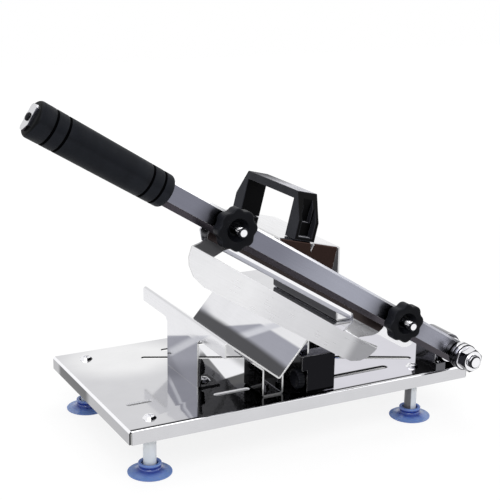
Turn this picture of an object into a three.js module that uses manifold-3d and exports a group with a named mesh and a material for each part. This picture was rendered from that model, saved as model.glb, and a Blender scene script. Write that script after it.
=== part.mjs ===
// Lever slicer on a folded steel deck. Millimetres, X right, Y back, Z up, origin on the ground
// under the middle of the deck.
import * as THREE from "three";
import { mergeVertices, toCreasedNormals } from "three/addons/utils/BufferGeometryUtils.js";
import Module from "manifold-3d";

const wasm = await Module();
wasm.setup();

// Shared fits
const gap = 0.3;
const overrun = 2;
const sheet = 1.5;
const bendInside = 0.8;
const arcSteps = 4;
const roundSteps = 20;
const smallSteps = 12;
const smallRadius = 7;
const shallowSteps = 2;
const creaseAngle = 0.5;

// M5 screws, M8 blade bolts and the M12 axle
const m5 = { radius: 2.5, head: 6.2, headHeight: 3, nutFlats: 8, nutHeight: 4 };
const m8 = { radius: 4, head: 8, headLand: 0.4, chamfer: 1 };
const m12 = { radius: 6, flats: 19, headHeight: 7.5, nutHeight: 10, chamfer: 1 };
const recess = { length: 6.4, width: 1.3, depth: 1.6 };

// Suction cup: a thin dish under a grooved collar, whose well holds the nylon post
const cup = {
  radius: 19,
  rim: 0.9,
  hollow: 1.5,
  collarRadius: 9.9,
  collarFoot: 3.2,
  collarTop: 9.5,
  lip: 0.6,
  groove: 0.7,
  grooveShares: [0.3, 0.58],
  wellRadius: 7.2,
  wellFloor: 5,
  studRadius: 3,
  studDepth: 2.5,
  domeShare: 0.6,
  bellShares: [0.62, 0.4],
};
const post = { radius: 5.7, length: 42.6, boreDepth: 18, screwDepth: 16 };

// Folded deck tray with its slots, given as shares of half its length and half its width
const deck = {
  length: 340,
  width: 190,
  flange: 11.8,
  cornerGap: 1.8,
  leftFootInset: 25.8,
  rightFootInset: 49.1,
  sideFootInset: 20.4,
  slotWidth: 6,
};
const slotShares = [
  [0.18, -0.674, 0.565, -0.674],
  [-0.406, 0.684, -0.147, 0.684],
  [-0.424, -0.579, -0.253, -0.579],
  [-0.876, -0.442, -0.765, -0.442],
  [0.394, -0.232, 0.765, -0.568],
  [-0.553, 0.568, -0.041, 0.137],
];
const deckTop = cup.wellFloor + post.length + sheet;
const deckFront = -deck.width / 2;

// Trough: a valley with a turned-down lip and leg on each side
const trough = {
  frontInset: 7,
  length: 172.5,
  valleyX: -28.7,
  valleyRise: 20.3,
  leftReach: 52.8,
  leftRise: 61.9,
  leftLip: 16,
  rightReach: 34.7,
  rimRise: 60.4,
  rimWidth: 40.5,
  rightLip: 10,
  legInset: 53,
  legWidth: 64,
  legShoulder: 4,
  kneeX: 29.7,
  kneeFront: 4,
  kneeLength: 40,
};
const troughFront = deckFront + trough.frontInset;
const valleyZ = deckTop + trough.valleyRise;
const rimZ = deckTop + trough.rimRise;
const leftRimZ = deckTop + trough.leftRise;
const leftX = trough.valleyX - trough.leftReach;
const rimX = trough.valleyX + trough.rightReach;
const rightX = rimX + trough.rimWidth;
const legFront = troughFront + trough.legInset;
const kneeLeft = trough.valleyX + trough.kneeX;
const kneeFront = troughFront + trough.kneeFront;
const leftSlope = (leftRimZ - valleyZ) / trough.leftReach;
const rightSlope = (rimZ - valleyZ) / trough.rightReach;

// Saddle under the valley
const saddle = { width: 20.7, length: 34, frontInset: 10, shift: 0.65, wing: 11 };

// Angle brackets and thumb screws inside the two legs
const bracket = { foot: 20, width: 26, height: 27, frontInset: -2 };
const thumb = {
  radius: 7.5,
  length: 5,
  collar: 5,
  collarLength: 1.7,
  height: 15,
  inset: 11,
  teeth: 18,
  toothDepth: 0.8,
  edge: 0.8,
};

// Folded plate at the front of the trough, beside the valley
const support = {
  leftReach: 5.5,
  width: 33,
  height: 35.4,
  topFlange: 14,
  length: 44,
  foot: 18,
  footLength: 26,
  knobRadius: 9.3,
  knobLength: 6,
  knobInset: 9,
  knobHeight: 12,
};

// Lever: stations run from the axle to the grip, heights square to the bar
const lever = {
  photoTurn: 31.6,
  axleX: 151,
  axleRise: 17.7,
  length: 466,
  height: 21,
  depth: 12,
  edge: 1.9,
  lowerChamfer: 5,
  nearBolt: 81.5,
  farBolt: 278,
  boltHeight: 1,
};
const blade = {
  clearance: 1,
  depth: 2,
  start: 44,
  end: 294,
  upper: 8,
  lower: 19.5,
  bevel: 5.9,
  land: 0.2,
  heelRun: 7,
  heelRise: 7,
  toeRun: 6.5,
};
const guard = {
  start: 68,
  end: 286.4,
  flangeDrop: 13.6,
  heelDrop: 1.7,
  reach: 12,
  bandDrop: 51.5,
  bendInside: 1.2,
  farRootDrop: 16.8,
  farOuterDrop: 27,
  nearRootDrop: 19,
  nearOuterDrop: 31.4,
  bandEnd: 301,
  bandStart: 88.8,
};
const axleZ = deckTop + lever.axleRise;
const bladeBack = troughFront - blade.clearance;
const bladeFront = bladeBack - blade.depth;
const guardFront = bladeFront - sheet;
const leverBack = guardFront;
const leverFront = leverBack - lever.depth;
const bandFront = guardFront - guard.reach;

// Guard's outline on the front view, as shares of the length from bandStart to bandEnd
// and of the drop from the bar's middle to the band's lower edge
const farTabShares = [
  [0.925, -0.326],
  [0.97, -0.45],
  [1, -0.525],
  [0.99, -0.694],
  [0.97, -0.811],
  [0.931, -0.93],
  [0.867, -1],
];
const nearTabShares = [
  [0.139, -1],
  [0.087, -0.985],
  [0.046, -0.909],
  [0.018, -0.796],
  [0.002, -0.662],
  [-0.005, -0.557],
  [0.103, -0.583],
  [0.131, -0.614],
  [0.096, -0.552],
  [0.021, -0.433],
  [-0.014, -0.352],
  [-0.023, -0.26],
  [-0.025, -0.201],
];
const windowShares = [
  [0.843, -0.359],
  [0.896, -0.518],
  [0.25, -0.583],
  [0.194, -0.6],
  [0.13, -0.36],
];

// Black ribbed grip over the end of the bar
const grip = {
  start: 341,
  length: 123,
  outerRadius: 15,
  innerRadius: 13.8,
  round: 3,
  grooveWidth: 2,
  grooveDepth: 0.9,
  innerGroove: 9,
  outerGroove: 13,
  groovePitch: 11,
};
const plug = { radius: 3.4, dome: 1.6, stem: 2, stemLength: 6 };

// Star knobs on the blade bolts
const knob = {
  radius: 17.7,
  lobes: 8,
  lobeDepth: 1.9,
  depth: 11.4,
  edge: 1.6,
  hubRadius: 8.5,
  hubLength: 0.8,
  dishRadius: 9.5,
  dishFloor: 6,
  dishDepth: 7,
  studProud: 9,
};
const starSteps = 5;

// Pivot: a strap bent over the axle sleeve, the axle's washers and the stop under the bar
const pivot = {
  strapRadius: 14,
  strap: 3,
  strapLength: 30,
  strapInset: 0.2,
  washerRadius: 12,
  washer: 2.2,
  outerWasher: 5.2,
  rodEnd: 4,
};
const stop = {
  axleInset: 7,
  backInset: 4,
  width: 10.5,
  depth: 6,
  height: 7.6,
  screwHead: 1.9,
  screwProud: 1.1,
};
const washerBack = leverBack + gap;
const sleeveFront = washerBack + 2 * pivot.washer;
const strapFront = sleeveFront + pivot.strapInset;
const strapBack = strapFront + pivot.strapLength;

// Pusher: folded plate that rides on the trough's right rim, and its bridge handle
const pusher = {
  tilt: 14,
  frontInset: 3,
  length: 115,
  plateRise: 143.8,
  leftX: -29,
  cornerX: 31.5,
  hook: 9,
  lip: 20.6,
  lipSide: 4,
  notchWidth: 4,
  notchDepth: 8,
  notchShare: 0.56,
};
const bridge = {
  backInset: 1,
  width: 20.5,
  height: 40,
  beam: 7,
  post: 16,
  shoulder: 17,
  chamfer: 13,
  centre: 23.6,
  pocketWidth: 13,
  pocketHeight: 33,
  pocketDepth: 6,
  innerWidth: 9,
  innerRise: 12,
  innerDepth: 10,
  screwInset: 10.6,
  screwRadius: 2,
  screwHead: 4,
  screwHeadHeight: 2.4,
  screwLength: 9,
};
const tilt = THREE.MathUtils.degToRad(pusher.tilt);
const pusherFront = troughFront + pusher.frontInset;
const bridgeBack = pusherFront + pusher.length - bridge.backInset;
const plateZ = deckTop + pusher.plateRise;

// Finishes
function finish(color, roughness, metalness) {
  return new THREE.MeshStandardMaterial({ color, roughness, metalness });
}
const polished = finish(0xc6c9cc, 0.16, 1);
const darkSteel = finish(0x4a4c50, 0.24, 1);
const satin = finish(0xd9dbde, 0.38, 1);
const bladeSteel = finish(0xb9bdc2, 0.2, 1);
const chrome = finish(0xe2e4e6, 0.1, 1);
const blackPlastic = finish(0x17181a, 0.42, 0);
const whiteNylon = finish(0xe9ebea, 0.5, 0);
const bluePlastic = finish(0x2f5fae, 0.3, 0);

// A closed geometry as a solid, without the slivers that a lathe leaves on its axis
function solidOf(geometry) {
  const bare = new THREE.BufferGeometry();
  bare.setAttribute("position", geometry.getAttribute("position"));
  bare.setIndex(geometry.index);
  const merged = mergeVertices(bare);
  const corners = merged.index.array;
  const kept = [];
  for (let i = 0; i < corners.length; i += 3) {
    const [a, b, c] = [corners[i], corners[i + 1], corners[i + 2]];
    if (a !== b && b !== c && c !== a) kept.push(a, b, c);
  }
  const vertProperties = merged.getAttribute("position").array;
  return new wasm.Manifold(
    new wasm.Mesh({ numProp: 3, vertProperties, triVerts: new Uint32Array(kept) }),
  );
}

// A named mesh from a solid
function meshOf(name, solid, material) {
  const made = solid.getMesh();
  const geometry = new THREE.BufferGeometry();
  geometry.setAttribute("position", new THREE.BufferAttribute(made.vertProperties, 3));
  geometry.setIndex(new THREE.BufferAttribute(made.triVerts, 1));
  const mesh = new THREE.Mesh(toCreasedNormals(geometry, creaseAngle), material);
  mesh.name = name;
  return mesh;
}

// The same geometry on several named meshes, each at its own place
function copies(solid, material, places) {
  const first = meshOf("", solid, material);
  return Object.entries(places).map(([name, place]) => {
    const mesh = new THREE.Mesh(first.geometry, material);
    mesh.name = name;
    mesh.position.set(...place);
    return mesh;
  });
}

function joined(...solids) {
  return solids.reduce((sum, next) => sum.add(next));
}

function cut(body, ...tools) {
  return tools.reduce((rest, tool) => rest.subtract(tool), body);
}

// Shape plane and run for an extrusion along each axis
const along = {
  x: new THREE.Matrix4().makeBasis(
    new THREE.Vector3(0, 1, 0),
    new THREE.Vector3(0, 0, 1),
    new THREE.Vector3(1, 0, 0),
  ),
  y: new THREE.Matrix4().makeBasis(
    new THREE.Vector3(1, 0, 0),
    new THREE.Vector3(0, 0, 1),
    new THREE.Vector3(0, -1, 0),
  ),
  z: new THREE.Matrix4(),
};

function shift(geometry, axis, distance) {
  const step = new THREE.Vector3();
  step[axis] = distance;
  return geometry.translate(step.x, step.y, step.z);
}

// A shape run along an axis, drawn on YZ, XZ or XY
function prismGeometry(shape, axis, from, to, bevel = 0) {
  const geometry = new THREE.ExtrudeGeometry(shape, {
    depth: to - from - 2 * bevel,
    curveSegments: arcSteps,
    bevelEnabled: bevel > 0,
    bevelSize: bevel,
    bevelThickness: bevel,
    bevelOffset: -bevel,
    bevelSegments: 1,
  });
  geometry.applyMatrix4(along[axis]);
  return shift(geometry, axis, axis === "y" ? to - bevel : from + bevel);
}

function prism(shape, axis, from, to, bevel) {
  return solidOf(prismGeometry(shape, axis, from, to, bevel));
}

function outline(points) {
  return new THREE.Shape(points.map(([u, v]) => new THREE.Vector2(u, v)));
}

function block(x, y, z) {
  const size = new THREE.BoxGeometry(x[1] - x[0], y[1] - y[0], z[1] - z[0]);
  return solidOf(size.translate((x[0] + x[1]) / 2, (y[0] + y[1]) / 2, (z[0] + z[1]) / 2));
}

// A profile of radii and stations turned about an axis through the point given
function turned(points, axis, centre = [0, 0, 0], steps) {
  const profile = points.map(([radius, station]) => new THREE.Vector2(radius, station));
  const widest = Math.max(...points.map(([radius]) => radius));
  const usual = widest > smallRadius ? roundSteps : smallSteps;
  const geometry = new THREE.LatheGeometry(profile, steps ?? usual);
  if (axis === "x") geometry.rotateZ(-Math.PI / 2);
  if (axis === "z") geometry.rotateX(Math.PI / 2);
  return solidOf(geometry.translate(...centre));
}

function rod(axis, radius, from, to, centre, steps) {
  const points = [
    [0, from],
    [radius, from],
    [radius, to],
    [0, to],
  ];
  return turned(points, axis, centre, steps);
}

function tube(axis, outer, inner, from, to, centre) {
  const bore = rod(axis, inner, from - overrun, to + overrun, centre);
  return cut(rod(axis, outer, from, to, centre), bore);
}

// A hexagon across its flats
function hexagon(axis, flats, from, to, centre) {
  return rod(axis, flats / Math.sqrt(3), from, to, centre, 6);
}

// The arc of one bend between two straight runs
function bendAt(before, corner, after, leftRadius, rightRadius) {
  const into = corner.clone().sub(before).normalize();
  const out = after.clone().sub(corner).normalize();
  const turn = Math.atan2(into.cross(out), into.dot(out));
  const radius = turn > 0 ? leftRadius : rightRadius;
  const side = Math.sign(turn);
  const start = corner.clone().addScaledVector(into, -radius * Math.tan(Math.abs(turn) / 2));
  const normal = new THREE.Vector2(-into.y, into.x);
  const centre = start.clone().addScaledVector(normal, side * radius);
  const from = Math.atan2(start.y - centre.y, start.x - centre.x);
  return { centre, radius, from, to: from + turn, clockwise: turn < 0 };
}

// A straight run to the start of an arc, and the arc
function runIntoArc(shape, centre, radius, from, to, clockwise) {
  shape.lineTo(centre.x + radius * Math.cos(from), centre.y + radius * Math.sin(from));
  shape.absarc(centre.x, centre.y, radius, from, to, clockwise);
}

// Section of a sheet folded along the corners, with its thickness on the left of the run
function foldedSheet(places, thickness, inside) {
  const corners = places.map(([u, v]) => new THREE.Vector2(u, v));
  const bends = corners
    .slice(1, -1)
    .map((corner, i) =>
      bendAt(corners[i], corner, corners[i + 2], inside + thickness, inside),
    );
  const leftOf = (from, to, at) => {
    const run = to.clone().sub(from).normalize();
    return at.clone().add(new THREE.Vector2(-run.y, run.x).multiplyScalar(thickness));
  };
  const last = corners.length - 1;
  const shape = new THREE.Shape();
  shape.moveTo(corners[0].x, corners[0].y);
  for (const bend of bends) {
    const { centre, radius, from, to, clockwise } = bend;
    runIntoArc(shape, centre, radius, from, to, clockwise);
  }
  shape.lineTo(corners[last].x, corners[last].y);
  const turnBack = leftOf(corners[last - 1], corners[last], corners[last]);
  shape.lineTo(turnBack.x, turnBack.y);
  for (const bend of bends.reverse()) {
    const { centre, radius, from, to, clockwise } = bend;
    const other = clockwise ? radius + thickness : radius - thickness;
    runIntoArc(shape, centre, other, to, from, !clockwise);
  }
  const home = leftOf(corners[0], corners[1], corners[0]);
  shape.lineTo(home.x, home.y);
  shape.closePath();
  return shape;
}

// A slot with round ends between two points
function slot(x0, y0, x1, y1, width) {
  const heading = Math.atan2(y1 - y0, x1 - x0);
  const shape = new THREE.Shape();
  const quarter = Math.PI / 2;
  shape.absarc(x0, y0, width / 2, heading + quarter, heading + 3 * quarter, false);
  shape.absarc(x1, y1, width / 2, heading - quarter, heading + quarter, false);
  shape.closePath();
  return shape;
}

// A wavy disc outline: lobes of a star knob or teeth of a knurl
function waves(radius, depth, count, steps) {
  const points = [];
  const total = count * steps;
  for (let i = 0; i < total; i += 1) {
    const angle = (2 * Math.PI * i) / total;
    const reach = radius - (depth * (1 - Math.cos(count * angle))) / 2;
    points.push([reach * Math.cos(angle), reach * Math.sin(angle)]);
  }
  return outline(points);
}

// Truss head with a cross recess on a shank that runs down the Z axis
function crossScrew(shankRadius, headRadius, headHeight, length) {
  const dome = new THREE.EllipseCurve(0, 0, headRadius, headHeight, 0, Math.PI / 2);
  const profile = [
    [0, -length],
    [shankRadius, -length],
    [shankRadius, 0],
    ...dome.getPoints(shallowSteps).map((p) => [Math.max(p.x, 0), p.y]),
  ];
  profile[profile.length - 1][0] = 0;
  const half = (recess.length * headRadius) / m5.head / 2;
  const across = (recess.width * headRadius) / m5.head / 2;
  const floor = headHeight - recess.depth;
  return cut(
    turned(profile, "z"),
    block([-half, half], [-across, across], [floor, headHeight + overrun]),
    block([-across, across], [-half, half], [floor, headHeight + overrun]),
  );
}

// Screw, with a nut under the deck, that holds a bracket's foot
function footScrew() {
  const stack = 2 * sheet;
  const nut = hexagon("z", m5.nutFlats, -stack - m5.nutHeight, -stack);
  return joined(crossScrew(m5.radius, m5.head, m5.headHeight, stack + m5.nutHeight), nut);
}

// Deck tray: two folded sections crossed, with open corners
function deckPlate() {
  const half = deck.length / 2;
  const side = deck.width / 2;
  const low = deckTop - deck.flange;
  const section = (reach) =>
    foldedSheet(
      [
        [reach, low],
        [reach, deckTop],
        [-reach, deckTop],
        [-reach, low],
      ],
      sheet,
      bendInside,
    );
  const lengthwise = half - deck.cornerGap;
  const crosswise = side - deck.cornerGap;
  const slots = slotShares.map(([x0, y0, x1, y1]) =>
    prism(
      slot(x0 * half, y0 * side, x1 * half, y1 * side, deck.slotWidth),
      "z",
      deckTop - sheet - overrun,
      deckTop + overrun,
    ),
  );
  const holes = [...footPlaces(), ...bracketPlaces(), saddlePlace()].map(([x, y]) =>
    rod("z", m5.radius + gap, deckTop - sheet - overrun, deckTop + overrun, [x, y, 0]),
  );
  return cut(
    joined(
      prism(section(side), "x", -lengthwise, lengthwise),
      prism(section(half), "y", -crosswise, crosswise),
    ),
    ...slots,
    ...holes,
  );
}

function footPlaces() {
  const left = -deck.length / 2 + deck.leftFootInset;
  const right = deck.length / 2 - deck.rightFootInset;
  const side = deck.width / 2 - deck.sideFootInset;
  return [
    [left, -side],
    [right, -side],
    [left, side],
    [right, side],
  ];
}

function suctionCup() {
  const [bellShare, heightShare] = cup.bellShares;
  const collarHeight = cup.collarTop - cup.collarFoot;
  const [low, high] = cup.grooveShares.map((share) => cup.collarFoot + share * collarHeight);
  const bore = cup.studRadius + gap;
  const boreEnd = cup.wellFloor - cup.studDepth - gap;
  const profile = new THREE.Path();
  profile.moveTo(0, cup.hollow);
  profile.quadraticCurveTo(cup.radius * cup.domeShare, cup.hollow, cup.radius - cup.rim, 0);
  profile.lineTo(cup.radius, 0);
  profile.lineTo(cup.radius, cup.rim);
  profile.quadraticCurveTo(
    cup.radius * bellShare,
    cup.collarFoot * heightShare,
    cup.collarRadius,
    cup.collarFoot,
  );
  profile.lineTo(cup.collarRadius, low);
  profile.lineTo(cup.collarRadius - cup.groove, low + cup.groove);
  profile.lineTo(cup.collarRadius - cup.groove, high - cup.groove);
  profile.lineTo(cup.collarRadius, high);
  profile.lineTo(cup.collarRadius, cup.collarTop - cup.lip);
  profile.lineTo(cup.collarRadius - cup.lip, cup.collarTop);
  profile.lineTo(cup.wellRadius, cup.collarTop);
  profile.lineTo(cup.wellRadius, cup.wellFloor);
  profile.lineTo(bore, cup.wellFloor);
  profile.lineTo(bore, boreEnd);
  profile.lineTo(0, boreEnd);
  return turned(
    profile.getPoints(shallowSteps).map((p) => [p.x, p.y]),
    "z",
  );
}

// Nylon post with a stud in the floor of the cup's well and a bore for the deck's screw
function footPost() {
  const bottom = cup.wellFloor;
  const top = bottom + post.length;
  return cut(
    joined(
      rod("z", post.radius, bottom, top),
      rod("z", cup.studRadius, bottom - cup.studDepth, bottom + sheet),
    ),
    rod("z", m5.radius + gap, top - post.boreDepth, top + overrun),
  );
}

function feet() {
  const names = ["front_left", "front_right", "rear_left", "rear_right"];
  const at = (prefix, z) =>
    Object.fromEntries(footPlaces().map(([x, y], i) => [`${prefix}_${names[i]}`, [x, y, z]]));
  const screw = crossScrew(m5.radius, m5.head, m5.headHeight, sheet + post.screwDepth);
  return [
    ...copies(screw, chrome, at("foot_screw", deckTop)),
    ...copies(footPost(), whiteNylon, at("foot_post", 0)),
    ...copies(suctionCup(), bluePlastic, at("suction_cup", 0)),
  ];
}

// Leg folded down from a lip: its side view, with shoulders that run up to the lip
function legPrism(x, lipZ) {
  const back = legFront + trough.legWidth;
  const shoulder = trough.legShoulder;
  const shape = outline([
    [legFront, deckTop],
    [back, deckTop],
    [back, lipZ - shoulder],
    [back + shoulder, lipZ],
    [back + shoulder, lipZ + shoulder],
    [legFront - shoulder, lipZ + shoulder],
    [legFront - shoulder, lipZ],
    [legFront, lipZ - shoulder],
  ]);
  return prism(shape, "x", x, x + sheet);
}

// Height of the trough's right wall, on the middle of its sheet
function wallMiddle(x) {
  const rise = (x - trough.valleyX) * rightSlope;
  return valleyZ + rise - (sheet / 2) * Math.hypot(1, rightSlope);
}

function troughSolid() {
  const section = foldedSheet(
    [
      [rightX, rimZ - trough.rightLip],
      [rightX, rimZ],
      [rimX, rimZ],
      [trough.valleyX, valleyZ],
      [leftX, leftRimZ],
      [leftX, leftRimZ - trough.leftLip],
    ],
    sheet,
    bendInside,
  );
  const kneeLow = deckTop + sheet + bendInside + gap;
  const knee = outline([
    [kneeLeft, kneeLow],
    [kneeLeft + sheet, kneeLow],
    [kneeLeft + sheet, wallMiddle(kneeLeft + sheet)],
    [kneeLeft, wallMiddle(kneeLeft)],
  ]);
  const body = joined(
    prism(section, "y", troughFront, troughFront + trough.length),
    legPrism(leftX, leftRimZ - trough.leftLip),
    legPrism(rightX - sheet, rimZ - trough.rightLip),
    prism(knee, "y", kneeFront, kneeFront + trough.kneeLength),
  );
  const [y, z] = supportKnobPlace();
  const hole = rod("x", m5.radius + gap, kneeLeft - overrun, kneeLeft + sheet + overrun, [0, y, z]);
  return cut(body, hole);
}

// Y and Z of the thumb screws
function thumbPlace() {
  return [legFront + thumb.inset, deckTop + thumb.height];
}

function supportKnobPlace() {
  return [troughFront + support.knobInset, deckTop + support.knobHeight];
}

// U bracket whose wings lie along the valley's two walls
function saddleSolid() {
  const centre = trough.valleyX - saddle.shift;
  const inner = saddle.width / 2 - sheet;
  const floor = deckTop + sheet;
  const leftDrop = (sheet + gap) * Math.hypot(1, leftSlope);
  const rightDrop = (sheet + gap) * Math.hypot(1, rightSlope);
  const leftTop = (x) => valleyZ + (trough.valleyX - x) * leftSlope - leftDrop;
  const rightTop = (x) => valleyZ + (x - trough.valleyX) * rightSlope - rightDrop;
  const left = centre - inner;
  const right = centre + inner;
  const leftEnd = left - saddle.wing;
  const rightEnd = right + saddle.wing;
  const section = foldedSheet(
    [
      [rightEnd, rightTop(rightEnd)],
      [right, rightTop(right)],
      [right, floor],
      [left, floor],
      [left, leftTop(left)],
      [leftEnd, leftTop(leftEnd)],
    ],
    sheet,
    bendInside,
  );
  const front = troughFront + saddle.frontInset;
  const [x, y] = saddlePlace();
  return cut(
    prism(section, "y", front, front + saddle.length),
    rod("z", m5.radius + gap, deckTop - overrun, floor + overrun, [x, y, 0]),
  );
}

function saddlePlace() {
  const y = troughFront + saddle.frontInset + saddle.length / 2;
  return [trough.valleyX - saddle.shift, y];
}

function saddleBolt() {
  const floor = deckTop + sheet;
  const under = deckTop - sheet;
  const place = [...saddlePlace(), 0];
  return joined(
    hexagon("z", m5.nutFlats, floor, floor + m5.headHeight, place),
    rod("z", m5.radius, under - m5.nutHeight, floor + sheet, place),
    hexagon("z", m5.nutFlats, under - m5.nutHeight, under, place),
  );
}

// Angle bracket inside a leg: side is 1 for the left leg and -1 for the right one
function angleBracket(side, face) {
  const front = legFront + bracket.frontInset;
  const outer = [
    [face + side * bracket.foot, deckTop],
    [face, deckTop],
    [face, deckTop + bracket.height],
  ];
  const section = foldedSheet(side > 0 ? outer.reverse() : outer, sheet, bendInside);
  const [y, z] = thumbPlace();
  const screwX = face + (side * bracket.foot) / 2;
  return cut(
    prism(section, "y", front, front + bracket.width),
    rod("x", m5.radius + gap, face - bracket.foot, face + bracket.foot, [0, y, z]),
    rod("z", m5.radius + gap, deckTop - overrun, deckTop + sheet + overrun, [
      screwX,
      front + bracket.width / 2,
      0,
    ]),
  );
}

function bracketPlaces() {
  const y = legFront + bracket.frontInset + bracket.width / 2;
  const supportX = kneeLeft - sheet + support.foot / 2 + sheet;
  return [
    [leftX + sheet + bracket.foot / 2, y],
    [rightX - sheet - bracket.foot / 2, y],
    [supportX, kneeFront + trough.kneeLength - support.footLength / 2],
  ];
}

// Thumb screw along X: its shank runs through the bracket or the knee toward the knurled head
function thumbScrew(radius, length, shank) {
  const start = shank + gap;
  const from = start + thumb.collarLength;
  const to = from + length;
  const inner = radius - thumb.toothDepth;
  const disc = turned(
    [
      [0, from],
      [inner, from],
      [radius, from + thumb.edge],
      [radius, to - thumb.edge],
      [inner, to],
      [0, to],
    ],
    "x",
  );
  const knurl = waves(radius, thumb.toothDepth, thumb.teeth, 2);
  const head = prism(knurl, "x", from, to).intersect(disc);
  return joined(
    head,
    rod("x", thumb.collar, start, start + thumb.collarLength + thumb.edge),
    rod("x", m5.radius, 0, start + thumb.edge),
  );
}

// A thumb screw at its place, with its head toward the right or, flipped, toward the left
function thumbScrewAt(name, solid, place, flipped) {
  const mesh = meshOf(name, solid, blackPlastic);
  mesh.position.set(...place);
  if (flipped) mesh.rotation.z = Math.PI;
  return mesh;
}

function legFixings() {
  const [y, z] = thumbPlace();
  const [leftScrew, rightScrew, frontScrew] = bracketPlaces();
  const screwZ = deckTop + sheet;
  const screws = copies(footScrew(), chrome, {
    bracket_screw_left: [...leftScrew, screwZ],
    bracket_screw_right: [...rightScrew, screwZ],
    support_screw: [...frontScrew, screwZ],
  });
  const inset = sheet + gap;
  const thumbSolid = thumbScrew(thumb.radius, thumb.length, sheet - gap);
  return [
    meshOf("leg_bracket_left", angleBracket(1, leftX + sheet), polished),
    meshOf("leg_bracket_right", angleBracket(-1, rightX - sheet), polished),
    ...screws,
    thumbScrewAt("thumb_screw_left", thumbSolid, [leftX + inset, y, z], false),
    thumbScrewAt("thumb_screw_right", thumbSolid, [rightX - inset, y, z], true),
  ];
}

// Folded support: front plate, top flange, and a side flange with a foot on the deck
function supportSolid() {
  const left = kneeLeft - sheet - support.leftReach;
  const low = deckTop + gap;
  const top = deckTop + support.height;
  const faceProfile = foldedSheet(
    [
      [troughFront, low],
      [troughFront, top],
      [troughFront + support.topFlange, top],
    ].reverse(),
    sheet,
    bendInside,
  );
  const footEnd = kneeLeft + support.foot;
  const footBack = troughFront + support.length;
  const upright = foldedSheet(
    [
      [kneeLeft - sheet, top - sheet / 2],
      [kneeLeft - sheet, deckTop],
      [footEnd, deckTop],
    ],
    sheet,
    bendInside,
  );
  const footFront = footBack - support.footLength;
  const flange = cut(
    prism(upright, "y", troughFront + sheet / 2, footBack),
    block(
      [kneeLeft + gap, footEnd + overrun],
      [troughFront - overrun, footFront],
      [deckTop - overrun, deckTop + sheet + bendInside],
    ),
  );
  const [y, z] = supportKnobPlace();
  const [x, screwY] = bracketPlaces()[2];
  const face = cut(
    prism(faceProfile, "x", left, left + support.width),
    block(
      [kneeLeft, kneeLeft + sheet + gap],
      [kneeFront - gap, troughFront + support.topFlange + overrun],
      [top - sheet - overrun, top + overrun],
    ),
    block(
      [left - overrun, kneeLeft - sheet],
      [troughFront - overrun, kneeFront],
      [low - overrun, z + support.knobRadius + gap],
    ),
  );
  return cut(
    joined(face, flange),
    rod("x", m5.radius + gap, kneeLeft - sheet - overrun, kneeLeft + overrun, [0, y, z]),
    rod("z", m5.radius + gap, deckTop - overrun, deckTop + sheet + overrun, [x, screwY, 0]),
  );
}

function supportFixings() {
  const [y, z] = supportKnobPlace();
  const nutStart = kneeLeft + sheet;
  const nut = cut(
    hexagon("x", m5.nutFlats, nutStart, nutStart + m5.nutHeight, [0, y, z]),
    rod("x", m5.radius + gap, nutStart - overrun, nutStart + m5.nutHeight + overrun, [0, y, z]),
  );
  const shank = 2 * sheet + m5.nutHeight;
  const screw = thumbScrew(support.knobRadius, support.knobLength, shank);
  return [
    meshOf("front_support", supportSolid(), darkSteel),
    meshOf("thumb_nut", nut, chrome),
    thumbScrewAt("thumb_screw_front", screw, [nutStart + m5.nutHeight, y, z], true),
  ];
}

// Strap bent over the axle sleeve
function strapSolid() {
  const { axleX } = lever;
  const inner = pivot.strapRadius - pivot.strap;
  const axle = new THREE.Vector2(axleX, axleZ);
  const shape = new THREE.Shape();
  shape.moveTo(axleX + pivot.strapRadius, deckTop);
  runIntoArc(shape, axle, pivot.strapRadius, 0, Math.PI, false);
  shape.lineTo(axleX - pivot.strapRadius, deckTop);
  shape.lineTo(axleX - inner, deckTop);
  runIntoArc(shape, axle, inner, Math.PI, 0, true);
  shape.lineTo(axleX + inner, deckTop);
  shape.closePath();
  return solidOf(
    shift(
      new THREE.ExtrudeGeometry(shape, {
        depth: pivot.strapLength,
        curveSegments: roundSteps / 2,
        bevelEnabled: false,
      }).applyMatrix4(along.y),
      "y",
      strapBack,
    ),
  );
}

function axleBolt() {
  const centre = [lever.axleX, 0, axleZ];
  const rodFront = leverFront - gap - 2 * pivot.outerWasher - m12.nutHeight - pivot.rodEnd;
  const headFront = strapBack + pivot.washer;
  const profile = [
    [0, rodFront],
    [m12.radius - m12.chamfer, rodFront],
    [m12.radius, rodFront + m12.chamfer],
    [m12.radius, headFront + m12.chamfer],
    [0, headFront + m12.chamfer],
  ];
  return joined(
    turned(profile, "y", centre),
    hexagon("y", m12.flats, headFront, headFront + m12.headHeight, centre),
  );
}

function pivotParts() {
  const centre = [lever.axleX, 0, axleZ];
  const bore = m12.radius + gap;
  const sleeve = pivot.strapRadius - pivot.strap - gap;
  const washer = (from, thick = pivot.washer) =>
    tube("y", pivot.washerRadius, bore, from, from + thick, centre);
  const thick = pivot.outerWasher;
  const nutBack = leverFront - gap - 2 * thick;
  const nut = cut(
    hexagon("y", m12.flats, nutBack - m12.nutHeight, nutBack, centre),
    rod("y", bore, nutBack - m12.nutHeight - overrun, nutBack + overrun, centre),
  );
  return [
    meshOf("pivot_bracket", strapSolid(), darkSteel),
    meshOf("axle_sleeve", tube("y", sleeve, bore, sleeveFront, strapBack, centre), satin),
    meshOf("axle_bolt", axleBolt(), chrome),
    meshOf("axle_washer_head", washer(strapBack), chrome),
    meshOf("axle_washer_back", washer(washerBack + pivot.washer), chrome),
    meshOf("axle_washer_inner", washer(washerBack), chrome),
    meshOf("axle_washer_outer", washer(nutBack + thick, thick), chrome),
    meshOf("axle_washer_nut", washer(nutBack, thick), chrome),
    meshOf("axle_nut", nut, chrome),
  ];
}

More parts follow.
